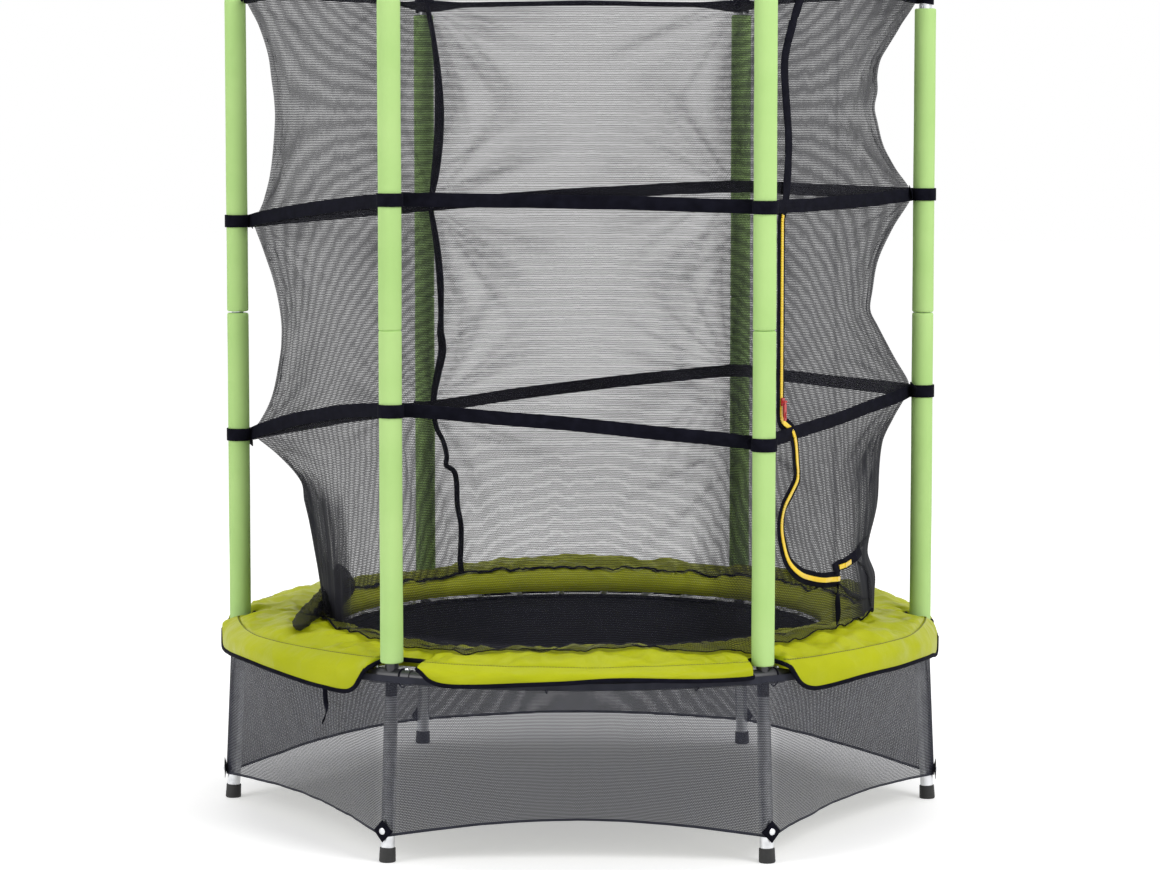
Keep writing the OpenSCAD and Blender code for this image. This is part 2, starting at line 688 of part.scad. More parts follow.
// A strap that runs straight from pole to pole
module band(apothem, heights) {
    outer = apothem / cos(HALF);
    inner = (apothem - band_t) / cos(HALF);
    ring_of([for (i = [0:POLES - 1]) let (a = pole_angle(i), z = heights[i]) [
        polar(inner, a, z - band_w / 2), polar(inner, a, z + band_w / 2),
        polar(outer, a, z + band_w / 2), polar(outer, a, z - band_w / 2)
    ]]);
}

upper_heights = [for (s = upper_slip) upper_band_h + s];
lower_heights = [for (s = lower_slip) lower_band_h + s];

module net_band_upper() {
    color(WEBBING) band(band_apothem, upper_heights);
}

module net_band_lower() {
    color(WEBBING) band(band_apothem, lower_heights);
}

module net_top_hem() {
    color(WEBBING) band(hem_apothem, [for (i = [0:POLES - 1]) top_hem_h]);
}

// Webbing loops that hold both bands to the foam, and the top hem to the bare tube
module pole_loops() {
    color(WEBBING) for (i = [0:POLES - 1]) at_pole(i) {
        for (z = [upper_heights[i], lower_heights[i]])
            tube(foam_r + fit + band_t, band_t, z - band_w / 2, z + band_w / 2);
        tube(pole_r + fit + band_t, band_t, top_hem_h - band_w / 2, top_hem_h + band_w / 2);
    }
}

// Tape over the net's closing seam, on its inside, beside the back left pole
module net_seam_tape() {
    color(WEBBING) net_patch(SEAM_PANEL, [seam_columns[7], seam_columns[8]],
                             net_rows, -net_t - fit / cos(HALF) - seam_tape_t, seam_tape_t);
}

// ---- Zip ----

// The flat stretch between the bands, in the frame of the zip's panel
module on_zip_panel() {
    rotate(ZIP_PANEL * STEP + HALF) translate([0, zip_s, 0]) children();
}

module zip_layer(half_phi, seat, t, w) {
    edges = [zip_phi - half_phi, zip_phi + half_phi];
    on_zip_panel() translate([seat, -w / 2, zip_low_end]) cube([t, w, zip_high_end - zip_low_end]);
    lower_zip_rows = [for (r = low_rows) if (r[1] >= zip_run_low) r];
    net_patch(ZIP_PANEL, edges, lower_zip_rows, seat - net_apothem, t);
}

// Black tape: up the panel, and along its foot towards the right
module zip_tape() {
    color(WEBBING) {
        zip_layer(zip_half_phi, tape_seat, zip_tape_t, zip_tape_w);
        net_patch(ZIP_PANEL, [zip_phi + zip_half_phi + 0.1, -15, -8, 0],
                  [[0, zip_run_low], [0, zip_run_high]], fit, zip_tape_t);
        net_patch(ZIP_PANEL, [zip_phi - zip_half_phi, zip_phi + zip_half_phi],
                  [for (r = high_rows) if (r[1] > 0 && r[1] < 1) r], fit, zip_tape_t);
    }
}

// Yellow coil on the tape
module zip_coil() {
    middle = (zip_run_low + zip_run_high) / 2;
    half = 0.008;
    color(ZIP_YELLOW) {
        zip_layer(coil_half_phi, coil_seat, zip_coil_t, zip_coil_w);
        net_patch(ZIP_PANEL, [zip_phi + coil_half_phi + 0.1, zip_phi + zip_half_phi, -15, -8, 0],
                  [[0, middle - half], [0, middle + half]], coil_seat - net_apothem, zip_coil_t);
    }
}

// The slider, with two ears and the pin for its pull
module zip_slider() {
    gap = pull_w - 2 * slider_ear;
    color(PULL_RED) on_zip_panel() translate([0, 0, slider_h]) {
        translate([slider_seat, -slider_w / 2, -slider_l / 2]) cube([slider_t, slider_w, slider_l]);
        for (side = [-1, 1]) translate([0, side * (gap / 2 + slider_ear / 2), 0]) {
            translate([slider_seat + slider_t - 0.5, -slider_ear / 2, -2.5])
                cube([pin_out - slider_seat - slider_t + 0.5, slider_ear, 5]);
            translate([pin_out, slider_ear / 2, 0]) rotate([90, 0, 0]) cylinder(r = 2.5, h = slider_ear);
        }
        translate([pin_out, gap / 2 + 0.5, 0]) rotate([90, 0, 0]) cylinder(r = pull_pin_d / 2, h = gap + 1);
    }
}

// The pull hangs from the slider's pin: a narrow eye, and a wider finger plate
module zip_pull() {
    gap = pull_w - 2 * slider_ear;
    eye_w = gap - 2 * pull_slack;
    bore_r = pull_pin_d / 2 + pin_play;
    color(PULL_RED) on_zip_panel() translate([pin_out, 0, slider_h]) difference() {
        union() {
            rotate([90, 0, 0]) translate([0, 0, -eye_w / 2]) cylinder(r = bore_r + 1, h = eye_w);
            translate([-pull_t / 2, -eye_w / 2, -6]) cube([pull_t, eye_w, 6]);
            translate([-pull_t / 2, -pull_w / 2, -pull_l]) cube([pull_t, pull_w, pull_l - 5]);
        }
        rotate([90, 0, 0]) translate([0, 0, -eye_w]) cylinder(r = bore_r, h = 2 * eye_w);
        translate([-pull_t, -pull_w / 4, -pull_l + 4]) cube([2 * pull_t, pull_w / 2, pull_l / 3]);
    }
}

// ---- Skirt ----

// The skirt goes round each leg in a corner whose two sides clear the tube
skirt_corner_half = 56;
corner_reach = (leg_r / cos(leg_splay) + fit) / sin(skirt_corner_half);
function leg_axis_r(z) = rail_ring_r + (rail_h - z) * tan(leg_splay);
skirt_corner_r = leg_axis_r(skirt_low_h) + corner_reach;
function skirt_low_z(phi) = skirt_low_h + skirt_rise * (1 - pow(phi / HALF, 2));
function skirt_low_r(phi) =
    skirt_corner_r * cos(HALF) / cos(phi) - skirt_draw * (1 - pow(phi / HALF, 2));
function skirt_point(i, phi, v, out) =
    polar(mix(skirt_top_r, skirt_low_r(phi), v) + out, i * STEP + HALF + phi,
          mix(skirt_top_z, skirt_low_z(phi), v));

// Six cloth panels from the rail to the tabs, straight from leg to leg along the bottom
module skirt_net() {
    edge = HALF - atan(fit / 2 / skirt_top_r);
    columns = [for (c = skirt_columns) max(-edge, min(edge, c))];
    color(SKIRT_GREY) for (i = [0:POLES - 1])
        slab([for (v = skirt_rows) [for (c = columns) skirt_point(i, c, 1 - v, skirt_t)]],
             [for (v = skirt_rows) [for (c = columns) skirt_point(i, c, 1 - v, 0)]]);
}

tab_seat = skirt_corner_r + skirt_t + fit;

// A square of webbing, set on its corner, at each leg
module skirt_tabs() {
    color(WEBBING) at_poles() translate([tab_seat, 0, tab_z]) rotate([45, 0, 0])
        translate([0, -tab_side / 2, -tab_side / 2]) cube([tab_t, tab_side, tab_side]);
}

// Domed snaps on the tabs
module skirt_snaps() {
    r = snap_d / 2;
    color(GALVANISED) at_poles() translate([tab_seat + tab_t, 0, tab_z]) rotate([0, 90, 0])
        rotate_extrude() polygon([[0, 0], [r, 0], [r, snap_h * 0.4], [r * 0.6, snap_h], [0, snap_h]]);
}

// ---- Loose tie straps ----

// A strap that hangs from its upper end and waves a little
module hanging_strap(length) {
    steps = 6;
    function wave(k) = strap_fold * sin(360 * k / steps) * k / steps;
    slab([for (k = [steps:-1:0]) [for (s = [-1, 1]) [strap_t / 2 + wave(k), s * strap_w / 2, -length * k / steps]]],
         [for (k = [steps:-1:0]) [for (s = [-1, 1]) [-strap_t / 2 + wave(k), s * strap_w / 2, -length * k / steps]]]);
}

module tie_straps() {
    flap_end = flap_low(PAD_STRAP_ANGLE) - piping - 2 * fit;
    zip_end = net_point(ZIP_PANEL, 0, [0, zip_run_low - 0.01], fit + strap_t / 2);
    color(WEBBING) {
        rotate(PAD_STRAP_ANGLE) translate([pad_outer_r - flap_wall, 0, flap_end])
            hanging_strap(pad_strap_l);
        translate(zip_end) rotate(ZIP_PANEL * STEP + HALF) hanging_strap(zip_strap_l);
    }
}

for (i = [0:POLES - 1]) {
    frame_rail(i);
    t_joint(i);
    leg(i);
    pole_lower(i);
    pole_upper(i);
    net_panel(i);
}
foot_caps();
foam_sleeves_lower();
foam_sleeves_upper();
pole_caps();
joint_screws();
jump_mat();
mat_rings();
springs();
safety_pad();
pad_piping();
pad_ties();
net_top_hem();
net_band_upper();
net_band_lower();
pole_loops();
net_seam_tape();
zip_tape();
zip_coil();
zip_slider();
zip_pull();
skirt_net();
skirt_tabs();
skirt_snaps();
tie_straps();
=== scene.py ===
"""The looks of the child's trampoline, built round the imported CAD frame. Metres, Z up.

Poles and legs are counted anticlockwise from +X, 60 degrees apart, and panel i runs from
pole i to the next one. The front is -Y, so poles 4 and 5 stand at the front.
"""
import math

import bpy
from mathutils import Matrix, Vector, noise


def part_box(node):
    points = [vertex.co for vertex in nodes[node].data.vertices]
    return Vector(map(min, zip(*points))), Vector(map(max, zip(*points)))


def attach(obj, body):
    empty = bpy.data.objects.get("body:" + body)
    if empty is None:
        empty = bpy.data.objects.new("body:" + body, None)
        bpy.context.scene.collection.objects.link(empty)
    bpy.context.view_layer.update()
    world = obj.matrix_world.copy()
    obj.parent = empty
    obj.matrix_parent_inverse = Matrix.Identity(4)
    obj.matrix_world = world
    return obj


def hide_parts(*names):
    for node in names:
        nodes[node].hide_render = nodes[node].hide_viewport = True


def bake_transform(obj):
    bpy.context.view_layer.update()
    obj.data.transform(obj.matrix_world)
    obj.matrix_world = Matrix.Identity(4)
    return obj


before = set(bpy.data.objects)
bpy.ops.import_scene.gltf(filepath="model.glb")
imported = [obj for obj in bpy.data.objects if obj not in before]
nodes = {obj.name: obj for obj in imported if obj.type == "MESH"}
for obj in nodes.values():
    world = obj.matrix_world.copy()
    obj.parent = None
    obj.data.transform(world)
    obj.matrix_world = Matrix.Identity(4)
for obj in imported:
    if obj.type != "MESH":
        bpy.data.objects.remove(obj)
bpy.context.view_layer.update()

POLES = 6
STEP = 2 * math.pi / POLES
L_POLE, FL_POLE, FR_POLE, R_POLE = 3, 4, 5, 0
BACK_PANEL, LEFT_FRONT_PANEL, FRONT_PANEL, ZIP_PANEL = 1, 3, 4, 5
UP = Vector((0, 0, 1))


# ---- Sizes, most of them read from the frame ----

# How far from a direction, in radians, a point still counts as lying in it
LOOK_WITHIN = 0.03


def middle(name, axis):
    lowest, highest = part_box(name)
    return (lowest[axis] + highest[axis]) / 2


def height_at(name, angle):
    """The middle height of the part of a node that lies in one direction from the axis."""
    near = [v.co.z for v in nodes[name].data.vertices
            if abs(math.remainder(math.atan2(v.co.y, v.co.x) - angle, 2 * math.pi)) < LOOK_WITHIN]
    return (min(near) + max(near)) / 2


RING_R = middle("pole_lower_1", 0)
RAIL_Z = middle("frame_rail_1", 2)
FOAM_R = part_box("foam_sleeves_lower")[1].x - RING_R
POLE_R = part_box("pole_upper_1")[1].x - RING_R
MAT_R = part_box("jump_mat")[1].x
MAT_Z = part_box("jump_mat")[1].z
PAD_UNDER_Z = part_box("pole_lower_1")[0].z
PAD_OUTER_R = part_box("safety_pad")[1].y
TOP_HEM_Z = middle("net_top_hem", 2)
UPPER_Z = [height_at("net_band_upper", i * STEP) for i in range(POLES)]
LOWER_Z = [height_at("net_band_lower", i * STEP) for i in range(POLES)]
WEB_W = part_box("net_top_hem")[1].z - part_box("net_top_hem")[0].z
# Thickness of the webbing
WEB_T = 0.0016


# ---- Small mathematics ----

def mix(a, b, t):
    return a + (b - a) * t


def clamp(x):
    return min(1.0, max(0.0, x))


def smooth(x):
    x = clamp(x)
    return x * x * (3 - 2 * x)


def bump_at(x, centre, width):
    """1 at the centre, falling smoothly to 0 at a width on each side."""
    return smooth(1 - abs(x - centre) / width)


def inside(t, rate):
    """0 at both ends of a stretch from 0 to 1, rising smoothly to 1 within."""
    return smooth(min(t, 1 - t) * rate)


def polar(r, angle, z=0.0):
    return Vector((r * math.cos(angle), r * math.sin(angle), z))


def facing(place):
    """The direction from the axis towards a place that is counted in panels."""
    return polar(1, place * STEP)


def turns(n):
    """The angles of n equal steps round a circle."""
    return [2 * math.pi * k / n for k in range(n)]


def heading(p):
    """Degrees of a point round the axis, from 0 to 360."""
    return math.degrees(math.atan2(p.y, p.x)) % 360


def rough(x, y, z):
    """Smooth noise from -1 to 1, the same in each run."""
    return noise.noise(Vector((x, y, z)))


def curve(points, x):
    """A smooth line through (x, y) points in rising x."""
    if x <= points[0][0]:
        return points[0][1]
    if x >= points[-1][0]:
        return points[-1][1]
    k = max(i for i in range(len(points) - 1) if points[i][0] <= x)
    (x0, y0), (x1, y1) = points[k], points[k + 1]
    before = points[k - 1] if k else points[k]
    after = points[k + 2] if k + 2 < len(points) else points[k + 1]
    span = x1 - x0
    m0 = (y1 - before[1]) / max(x1 - before[0], 1e-9) * span
    m1 = (after[1] - y0) / max(after[0] - x0, 1e-9) * span
    t = (x - x0) / span
    return ((2 * t ** 3 - 3 * t ** 2 + 1) * y0 + (t ** 3 - 2 * t ** 2 + t) * m0
            + (3 * t ** 2 - 2 * t ** 3) * y1 + (t ** 3 - t ** 2) * m1)


# ---- Meshes ----

def mesh_object(name, points, faces, uvs=None, flat=False):
    mesh = bpy.data.meshes.new(name)
    mesh.from_pydata([tuple(p) for p in points], [], faces)
    if uvs:
        layer = mesh.uv_layers.new(name="UVMap")
        for loop in mesh.loops:
            layer.data[loop.index].uv = uvs[loop.vertex_index]
    if not flat:
        mesh.shade_smooth()
    mesh.update()
    obj = bpy.data.objects.new(name, mesh)
    bpy.context.scene.collection.objects.link(obj)
    return obj


def grid_faces(rows, columns, wrap_rows=False, wrap_columns=False, start=0, flip=False):
    """Faces of a grid whose points are listed row by row."""
    faces = []
    for i in range(rows if wrap_rows else rows - 1):
        for j in range(columns if wrap_columns else columns - 1):
            a, b = i % rows, (i + 1) % rows
            c, d = j % columns, (j + 1) % columns
            quad = [start + a * columns + c, start + a * columns + d,
                    start + b * columns + d, start + b * columns + c]
            faces.append(quad[::-1] if flip else quad)
    return faces


def sheet_object(name, grid, uv_grid):
    """An open sheet of cloth from a grid of points, with its map in metres."""
    rows, columns = len(grid), len(grid[0])
    return mesh_object(name, [p for row in grid for p in row], grid_faces(rows, columns),
                       [uv for row in uv_grid for uv in row])


def direction(points, k, closed):
    """Which way a line runs at one of its points."""
    n = len(points)
    ahead = points[(k + 1) % n] if closed or k + 1 < n else points[k]
    behind = points[k - 1] if closed or k else points[k]
    return (ahead - behind).normalized()


class Pile:
    """Points and faces of many parts that end up in one piece."""

    def __init__(self):
        self.points, self.faces, self.uvs = [], [], []

    def sweep(self, sections, closed=False, capped=True):
        """Joins sections of equal length, each a ring of points, into one skin."""
        n, m, start = len(sections), len(sections[0]), len(self.points)
        along = 0.0
        for k, section in enumerate(sections):
            if k:
                along += (section[0] - sections[k - 1][0]).length
            self.points += section
            self.uvs += [(along, j / m) for j in range(m)]
        self.faces += grid_faces(n, m, closed, True, start)
        if capped and not closed:
            self.faces.append([start + j for j in range(m)][::-1])
            self.faces.append([start + (n - 1) * m + j for j in range(m)])

    def strap(self, points, normals, width, thick, closed=False):
        """Webbing along a line: normals point out of its wide face. Its width may be a list."""
        sections = []
        for k, p in enumerate(points):
            half = (width[k] if isinstance(width, list) else width) / 2
            t, bevel = thick / 2, min(thick, half) * 0.25
            upper = [(-half, t - bevel), (bevel - half, t), (0, t * 1.1), (half - bevel, t),
                     (half, t - bevel)]
            lower = [(-u, -v) for u, v in upper]
            outline = lower[-1:] + upper + lower[:-1]
            along = direction(points, k, closed)
            out = (normals[k] - along * normals[k].dot(along)).normalized()
            across = out.cross(along).normalized()
            sections.append([p + across * u + out * v for u, v in outline])
        self.sweep(sections, closed)

    def cord(self, points, radius, sides=8, closed=False):
        """A round cord along a line."""
        sections = []
        out = UP
        for k, p in enumerate(points):
            along = direction(points, k, closed)
            if abs(along.dot(out)) > 0.95:
                out = Vector((1, 0, 0))
            side = (out - along * out.dot(along)).normalized()
            up = along.cross(side)
            sections.append([p + (side * math.cos(a) + up * math.sin(a)) * radius for a in turns(sides)])
        self.sweep(sections, closed)

    def made(self, name, flat=False):
        return mesh_object(name, self.points, self.faces, self.uvs, flat)


def soft_edges(obj, degrees=35):
    """Smooth shading that keeps the edges sharper than an angle."""
    bpy.context.view_layer.objects.active = obj
    obj.select_set(True)
    bpy.ops.object.shade_smooth_by_angle(angle=math.radians(degrees))
    obj.select_set(False)


# ---- Materials ----

def node(tree, kind, **settings):
    """A shader node, with inputs and properties set by name."""
    made = tree.nodes.new("ShaderNode" + kind)
    for key, value in settings.items():
        if key in made.inputs:
            made.inputs[key].default_value = value
        else:
            setattr(made, key, value)
    return made


def computed(tree, operation, *values, kind="Math"):
    """The result of a Math or VectorMath node on numbers and other nodes' outputs."""
    made = node(tree, kind, operation=operation)
    for socket, value in zip(made.inputs, values):
        if isinstance(value, (int, float, tuple)):
            socket.default_value = value
        else:
            tree.links.new(value, socket)
    return made.outputs[0]


def grey(v):
    return (v, v, v)


class Look:
    """A material in the making. Each bump lies on top of the ones before it."""

    def __init__(self, name, space="Object", scale=(1, 1, 1), **sockets):
        self.material = bpy.data.materials.new(name)
        self.material.use_nodes = True
        self.tree = self.material.node_tree
        self.shader = self.tree.nodes["Principled BSDF"]
        for key, value in sockets.items():
            socket = key.replace("_", " ").title().replace("Ior", "IOR")
            self.shader.inputs[socket].default_value = value
        mapping = node(self.tree, "Mapping", Scale=scale)
        self.link(node(self.tree, "TexCoord").outputs[space], mapping.inputs["Vector"])
        self.place = mapping.outputs["Vector"]
        self.normal = None

    def link(self, source, target):
        self.tree.links.new(source, target)

    def paint(self, socket, source):
        self.link(source, self.shader.inputs[socket])

    def texture(self, kind, output, **settings):
        made = node(self.tree, "Tex" + kind, **settings)
        self.link(self.place, made.inputs["Vector"])
        return made.outputs[output]

    def noise(self, scale, detail=3.0, roughness=0.5):
        return self.texture("Noise", "Fac", Scale=scale, Detail=detail, Roughness=roughness)

    def ramp(self, value, low, high, start=0.3, end=0.7):
        """One colour up to the start of a value's range, another from its end."""
        made = node(self.tree, "ValToRGB")
        for element, place, colour in zip(made.color_ramp.elements, (start, end), (low, high)):
            element.position = place
            element.color = (*colour, 1)
        self.link(value, made.inputs["Fac"])
        return made.outputs["Color"]

    def bump(self, height, strength, distance):
        made = node(self.tree, "Bump", Strength=strength, Distance=distance)
        self.link(height, made.inputs["Height"])
        if self.normal is not None:
            self.link(self.normal, made.inputs["Normal"])
        self.normal = made.outputs["Normal"]
        self.paint("Normal", self.normal)


def foam_material():
    look = Look("foam_green", roughness=0.66, specular_ior_level=0.25)
    look.paint("Base Color", look.ramp(look.noise(9, 4), (0.430, 0.665, 0.225), (0.485, 0.715, 0.262)))
    look.bump(look.texture("Voronoi", "Distance", Scale=420.0), 0.25, 0.0006)
    look.bump(look.noise(38), 0.3, 0.0015)
    return look.material


def pad_material():
    look = Look("pad_lime", roughness=0.42, specular_ior_level=0.16)
    lime = look.ramp(look.noise(7, 5), (0.385, 0.420, 0.003), (0.455, 0.485, 0.007), 0.28, 0.72)
    look.paint("Base Color", lime)
    look.paint("Roughness", look.ramp(look.noise(14, 4), grey(0.36), grey(0.52)))
    weave = look.texture("Wave", "Fac", Scale=320.0, Distortion=0.6, bands_direction="Z")
    look.bump(weave, 0.1, 0.0003)
    look.bump(look.noise(26, 6, 0.6), 0.5, 0.004)
    look.bump(look.texture("Voronoi", "Distance", Scale=12.0), 0.55, 0.012)
    look.bump(look.noise(90, 4), 0.25, 0.001)
    return look.material


def webbing_material():
    look = Look("webbing_black", roughness=0.85, specular_ior_level=0.05)
    look.paint("Base Color", look.ramp(look.noise(60), (0.004, 0.004, 0.0075), (0.008, 0.008, 0.0145)))
    weave = look.texture("Wave", "Fac", Scale=260.0, Distortion=1.2, bands_direction="DIAGONAL")
    look.bump(weave, 0.5, 0.0006)
    return look.material


THREAD_HALF = "thread_half"
# Where the thread is thicker than this the net lies in folds, layer on layer, and its holes close
DENSE_FROM, DENSE_RATE = 0.118, 2.6
# The knit's own unevenness: scale of the noise, and how far it moves the threads
KNIT_SHAKES = ((0.13, 0.16), (0.9, 0.10))


def mesh_material(name, thread, cell, wander_by, fibres, solid):
    """Knitted net: rows of holes in dark thread. Its map is in metres, the cells in centimetres, and
    the piece's own attribute says how thick the thread is, where the net is drawn together.
    Fine fibres cross the holes, and the thread itself lets a little light through."""
    look = Look(name, "UV", (200, 100, 1), roughness=0.75, specular_ior_level=0.15)
    tree, shifted = look.tree, look.place
    for scale, amount in KNIT_SHAKES:
        shake = look.texture("Noise", "Color", Scale=scale, Detail=1.0)
        centred = computed(tree, "SUBTRACT", shake, (0.5, 0.5, 0.5), kind="VectorMath")
        shifted = computed(tree, "MULTIPLY_ADD", centred, (2 * amount, amount, 0), shifted, kind="VectorMath")
    wander = look.noise(0.16)
    thick = node(tree, "Attribute", attribute_name=THREAD_HALF).outputs["Fac"]
    size = computed(tree, "MULTIPLY_ADD", wander, 2 * wander_by, -wander_by)
    knit = {"Brick Width": 2 * cell[0], "Row Height": cell[1], "Mortar Smooth": 0.25}
    bricks = node(tree, "TexBrick", Scale=1.0, offset=0.5, **knit)
    look.link(shifted, bricks.inputs["Vector"])
    look.link(computed(tree, "ADD", thick, size), bricks.inputs["Mortar Size"])
    layered = computed(tree, "MULTIPLY_ADD", thick, DENSE_RATE, -DENSE_RATE * DENSE_FROM)
    closed = computed(tree, "ADD", computed(tree, "MAXIMUM", layered, 0.0), fibres)
    cover = computed(tree, "MULTIPLY_ADD", bricks.outputs["Fac"], solid, closed)
    look.paint("Alpha", computed(tree, "MINIMUM", cover, 1.0))
    look.paint("Base Color", look.ramp(wander, thread, tuple(1.5 * c for c in thread)))
    look.bump(bricks.outputs["Fac"], 0.6, 0.0008)
    return look.material


def mat_material():
    look = Look("mat_black", roughness=0.8, specular_ior_level=0.04)
    look.paint("Base Color", look.ramp(look.noise(5, 5), (0.0035, 0.004, 0.0085), (0.0065, 0.007, 0.014)))
    look.bump(look.texture("Checker", "Fac", Scale=300.0), 0.4, 0.0004)
    look.bump(look.noise(18, 4), 0.3, 0.003)
    return look.material


def steel_material():
    look = Look("galvanised", metallic=1.0, roughness=0.34)
    spangle = look.texture("Voronoi", "Distance", Scale=70.0)
    look.paint("Base Color", look.ramp(spangle, (0.62, 0.63, 0.65), (0.80, 0.81, 0.83), 0.1, 0.8))
    look.paint("Roughness", look.ramp(look.noise(40, 4), grey(0.27), grey(0.42)))
    look.bump(look.noise(120), 0.12, 0.0006)
    return look.material


# Sockets of a Mix node that mixes colours: its two colours, and the result
MIX_A, MIX_B, MIXED = 6, 7, 2


def paint_material(name, edge_z, side):
    """Black paint that ends at a height, with bare steel on one side of that edge."""
    look = Look(name, roughness=0.36, coat_weight=0.2)
    apart = node(look.tree, "SeparateXYZ")
    look.link(look.place, apart.inputs[0])
    worn = computed(look.tree, "MULTIPLY_ADD", look.noise(60, 2), 0.004, edge_z - 0.002)
    bare = computed(look.tree, side, apart.outputs["Z"], worn)
    paint = look.ramp(look.noise(30, 4), (0.012, 0.012, 0.016), (0.024, 0.024, 0.030))
    steel = look.ramp(look.noise(70, 4), (0.50, 0.51, 0.53), (0.72, 0.73, 0.75))
    both = node(look.tree, "Mix", data_type="RGBA")
    look.link(bare, both.inputs["Factor"])
    look.link(paint, both.inputs[MIX_A])
    look.link(steel, both.inputs[MIX_B])
    look.paint("Base Color", both.outputs[MIXED])
    look.paint("Metallic", bare)
    look.bump(look.noise(240), 0.25, 0.0004)
    return look.material


def rubber_material():
    look = Look("rubber_black", roughness=0.55)
    look.paint("Base Color", look.ramp(look.noise(50, 4), grey(0.008), grey(0.018)))
    look.bump(look.noise(160, 4), 0.35, 0.0006)
    return look.material


def gloss_material(name, dark, light, roughness=0.3):
    look = Look(name, roughness=roughness, coat_weight=0.3)
    look.paint("Base Color", look.ramp(look.noise(45), dark, light))
    look.bump(look.noise(300, 2), 0.15, 0.0003)
    return look.material


FOAM = foam_material()
PAD = pad_material()
WEBBING = webbing_material()
NET = mesh_material("net_mesh", (0.010, 0.010, 0.014), (0.48, 0.32), 0.004, 0.19, 0.64)
SKIRT = mesh_material("skirt_mesh", (0.022, 0.023, 0.032), (0.42, 0.30), 0.006, 0.42, 0.45)
MAT = mat_material()
STEEL = steel_material()
PAINT = paint_material("black_paint", 0.300, "LESS_THAN")
POLE_STEEL = paint_material("pole_steel", 0.370, "GREATER_THAN")
RUBBER = rubber_material()
YELLOW = gloss_material("zip_yellow", (0.93, 0.62, 0.020), (0.98, 0.70, 0.03))
# Dark olive for the pad's seam stitches: painted shade of the groove they lie in, darker than the pad
GROOVE_SHADE_THREAD = gloss_material("seam_thread_painted_shade", (0.10, 0.11, 0.004), (0.16, 0.17, 0.008), 0.7)
RED = gloss_material("pull_red", (0.42, 0.006, 0.008), (0.55, 0.012, 0.012))


def dress(obj, material, body="frame", stands_for=()):
    """Gives a new piece its finish, its body and the nodes that it stands for."""
    obj.data.materials.clear()
    obj.data.materials.append(material)
    if body:
        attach(obj, body)
    if stands_for:
        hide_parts(*stands_for)
    return obj


def repaint(material, *names):
    """Gives a CAD node that stays in view its detailed material."""
    for name in names:
        nodes[name].data.materials.clear()
        nodes[name].data.materials.append(material)


def numbered(*parts):
    """The names of a part's six nodes."""
    return [f"{part}_{i + 1}" for part in parts for i in range(POLES)]


def set_thread(obj, values):
    """Writes how thick the net's thread is, point by point."""
    layer = obj.data.attributes.new(THREAD_HALF, "FLOAT", "POINT")
    layer.data.foreach_set("value", values)


# ---- Safety pad ----

PAD_INNER_R = 0.485
PAD_LIP_R, PAD_DROOP = 0.4735, 0.0066
PAD_TOP_RUN = 0.18
NOTCH_R, NOTCH_SEAM_T = 0.6405, 0.0150
NOTCH_HEM_Z = PAD_UNDER_Z + 0.012
EDGE_T, SEAM_T = 0.012, 0.0168
FLAP_WALL, FLAP_RUN = 0.004, 1.1
# Each pole's notch: degrees that it reaches on its clockwise and its anticlockwise side
NOTCHES = [(3.0, 3.0), (3.2, 3.2), (3.2, 3.2), (3.0, 3.0), (2.15, 4.8), (2.1, 2.1)]
# Height of a flap's lower edge, by degrees from its panel's first pole
PLAIN_HEM = [(3.4, 0.353), (5.5, 0.330), (8, 0.315), (20, 0.316), (40, 0.314), (52, 0.315), (54.5, 0.330),
             (56.6, 0.353)]
FLAP_HEMS = {
    LEFT_FRONT_PANEL: [(3.4, 0.353), (5.5, 0.330), (8, 0.317), (17, 0.319), (26, 0.323), (35.3, 0.319),
                       (42.3, 0.313), (48.2, 0.308), (53, 0.305), (54.8, 0.314), (56.0, 0.334), (56.9, 0.350),
                       (57.5, 0.359)],
    FRONT_PANEL: [(5.1, 0.360), (6.3, 0.354), (7.8, 0.339), (10.1, 0.332), (14.3, 0.333), (21.8, 0.339),
                  (27.6, 0.343), (36, 0.348), (48.2, 0.342), (54.5, 0.341), (56.8, 0.342), (57.8, 0.347),
                  (58.1, 0.355)],
    ZIP_PANEL: [(2.5, 0.361), (3.5, 0.352), (4.0, 0.343), (5.1, 0.325), (6.6, 0.314), (8.8, 0.310),
                (18.5, 0.318), (27, 0.319), (35, 0.318), (45, 0.312), (51.5, 0.304), (55, 0.318),
                (56.8, 0.350)],
}
# Height of the pad's crown and radius of the seam where the flap begins, by angle
CROWN_Z = [(0, 0.374), (12, 0.386), (30, 0.392), (48, 0.398), (60, 0.392), (75, 0.400), (105, 0.400),
           (120, 0.388), (135, 0.385), (150, 0.384), (168, 0.380), (180, 0.371), (192, 0.381), (207, 0.386),
           (225, 0.384), (236, 0.375), (243, 0.372), (253, 0.376), (260, 0.378), (267, 0.382), (274, 0.385),
           (279, 0.388), (284, 0.383), (292, 0.376), (299, 0.374), (306, 0.380), (320, 0.386), (345, 0.385)]
SEAM_R = [(0, 0.675), (30, 0.670), (90, 0.668), (150, 0.668), (180, 0.668), (192, 0.665), (208, 0.673),
          (222, 0.667), (234, 0.666), (248, 0.672), (270, 0.674), (292, 0.674), (303, 0.692), (307, 0.690),
          (314, 0.682), (326, 0.681), (333, 0.684), (347, 0.674)]
# The top's outline: share of the way from the inner edge to the seam, share of the rise to the crown
CROWN_AT = 0.48
CROWN_LINE = [(0, 0), (0.05, 0.34), (0.12, 0.60), (0.24, 0.84), (0.38, 0.97), (CROWN_AT, 1.0), (0.60, 0.97),
              (0.74, 0.82), (0.86, 0.54), (0.95, 0.20), (1.0, 0.0)]
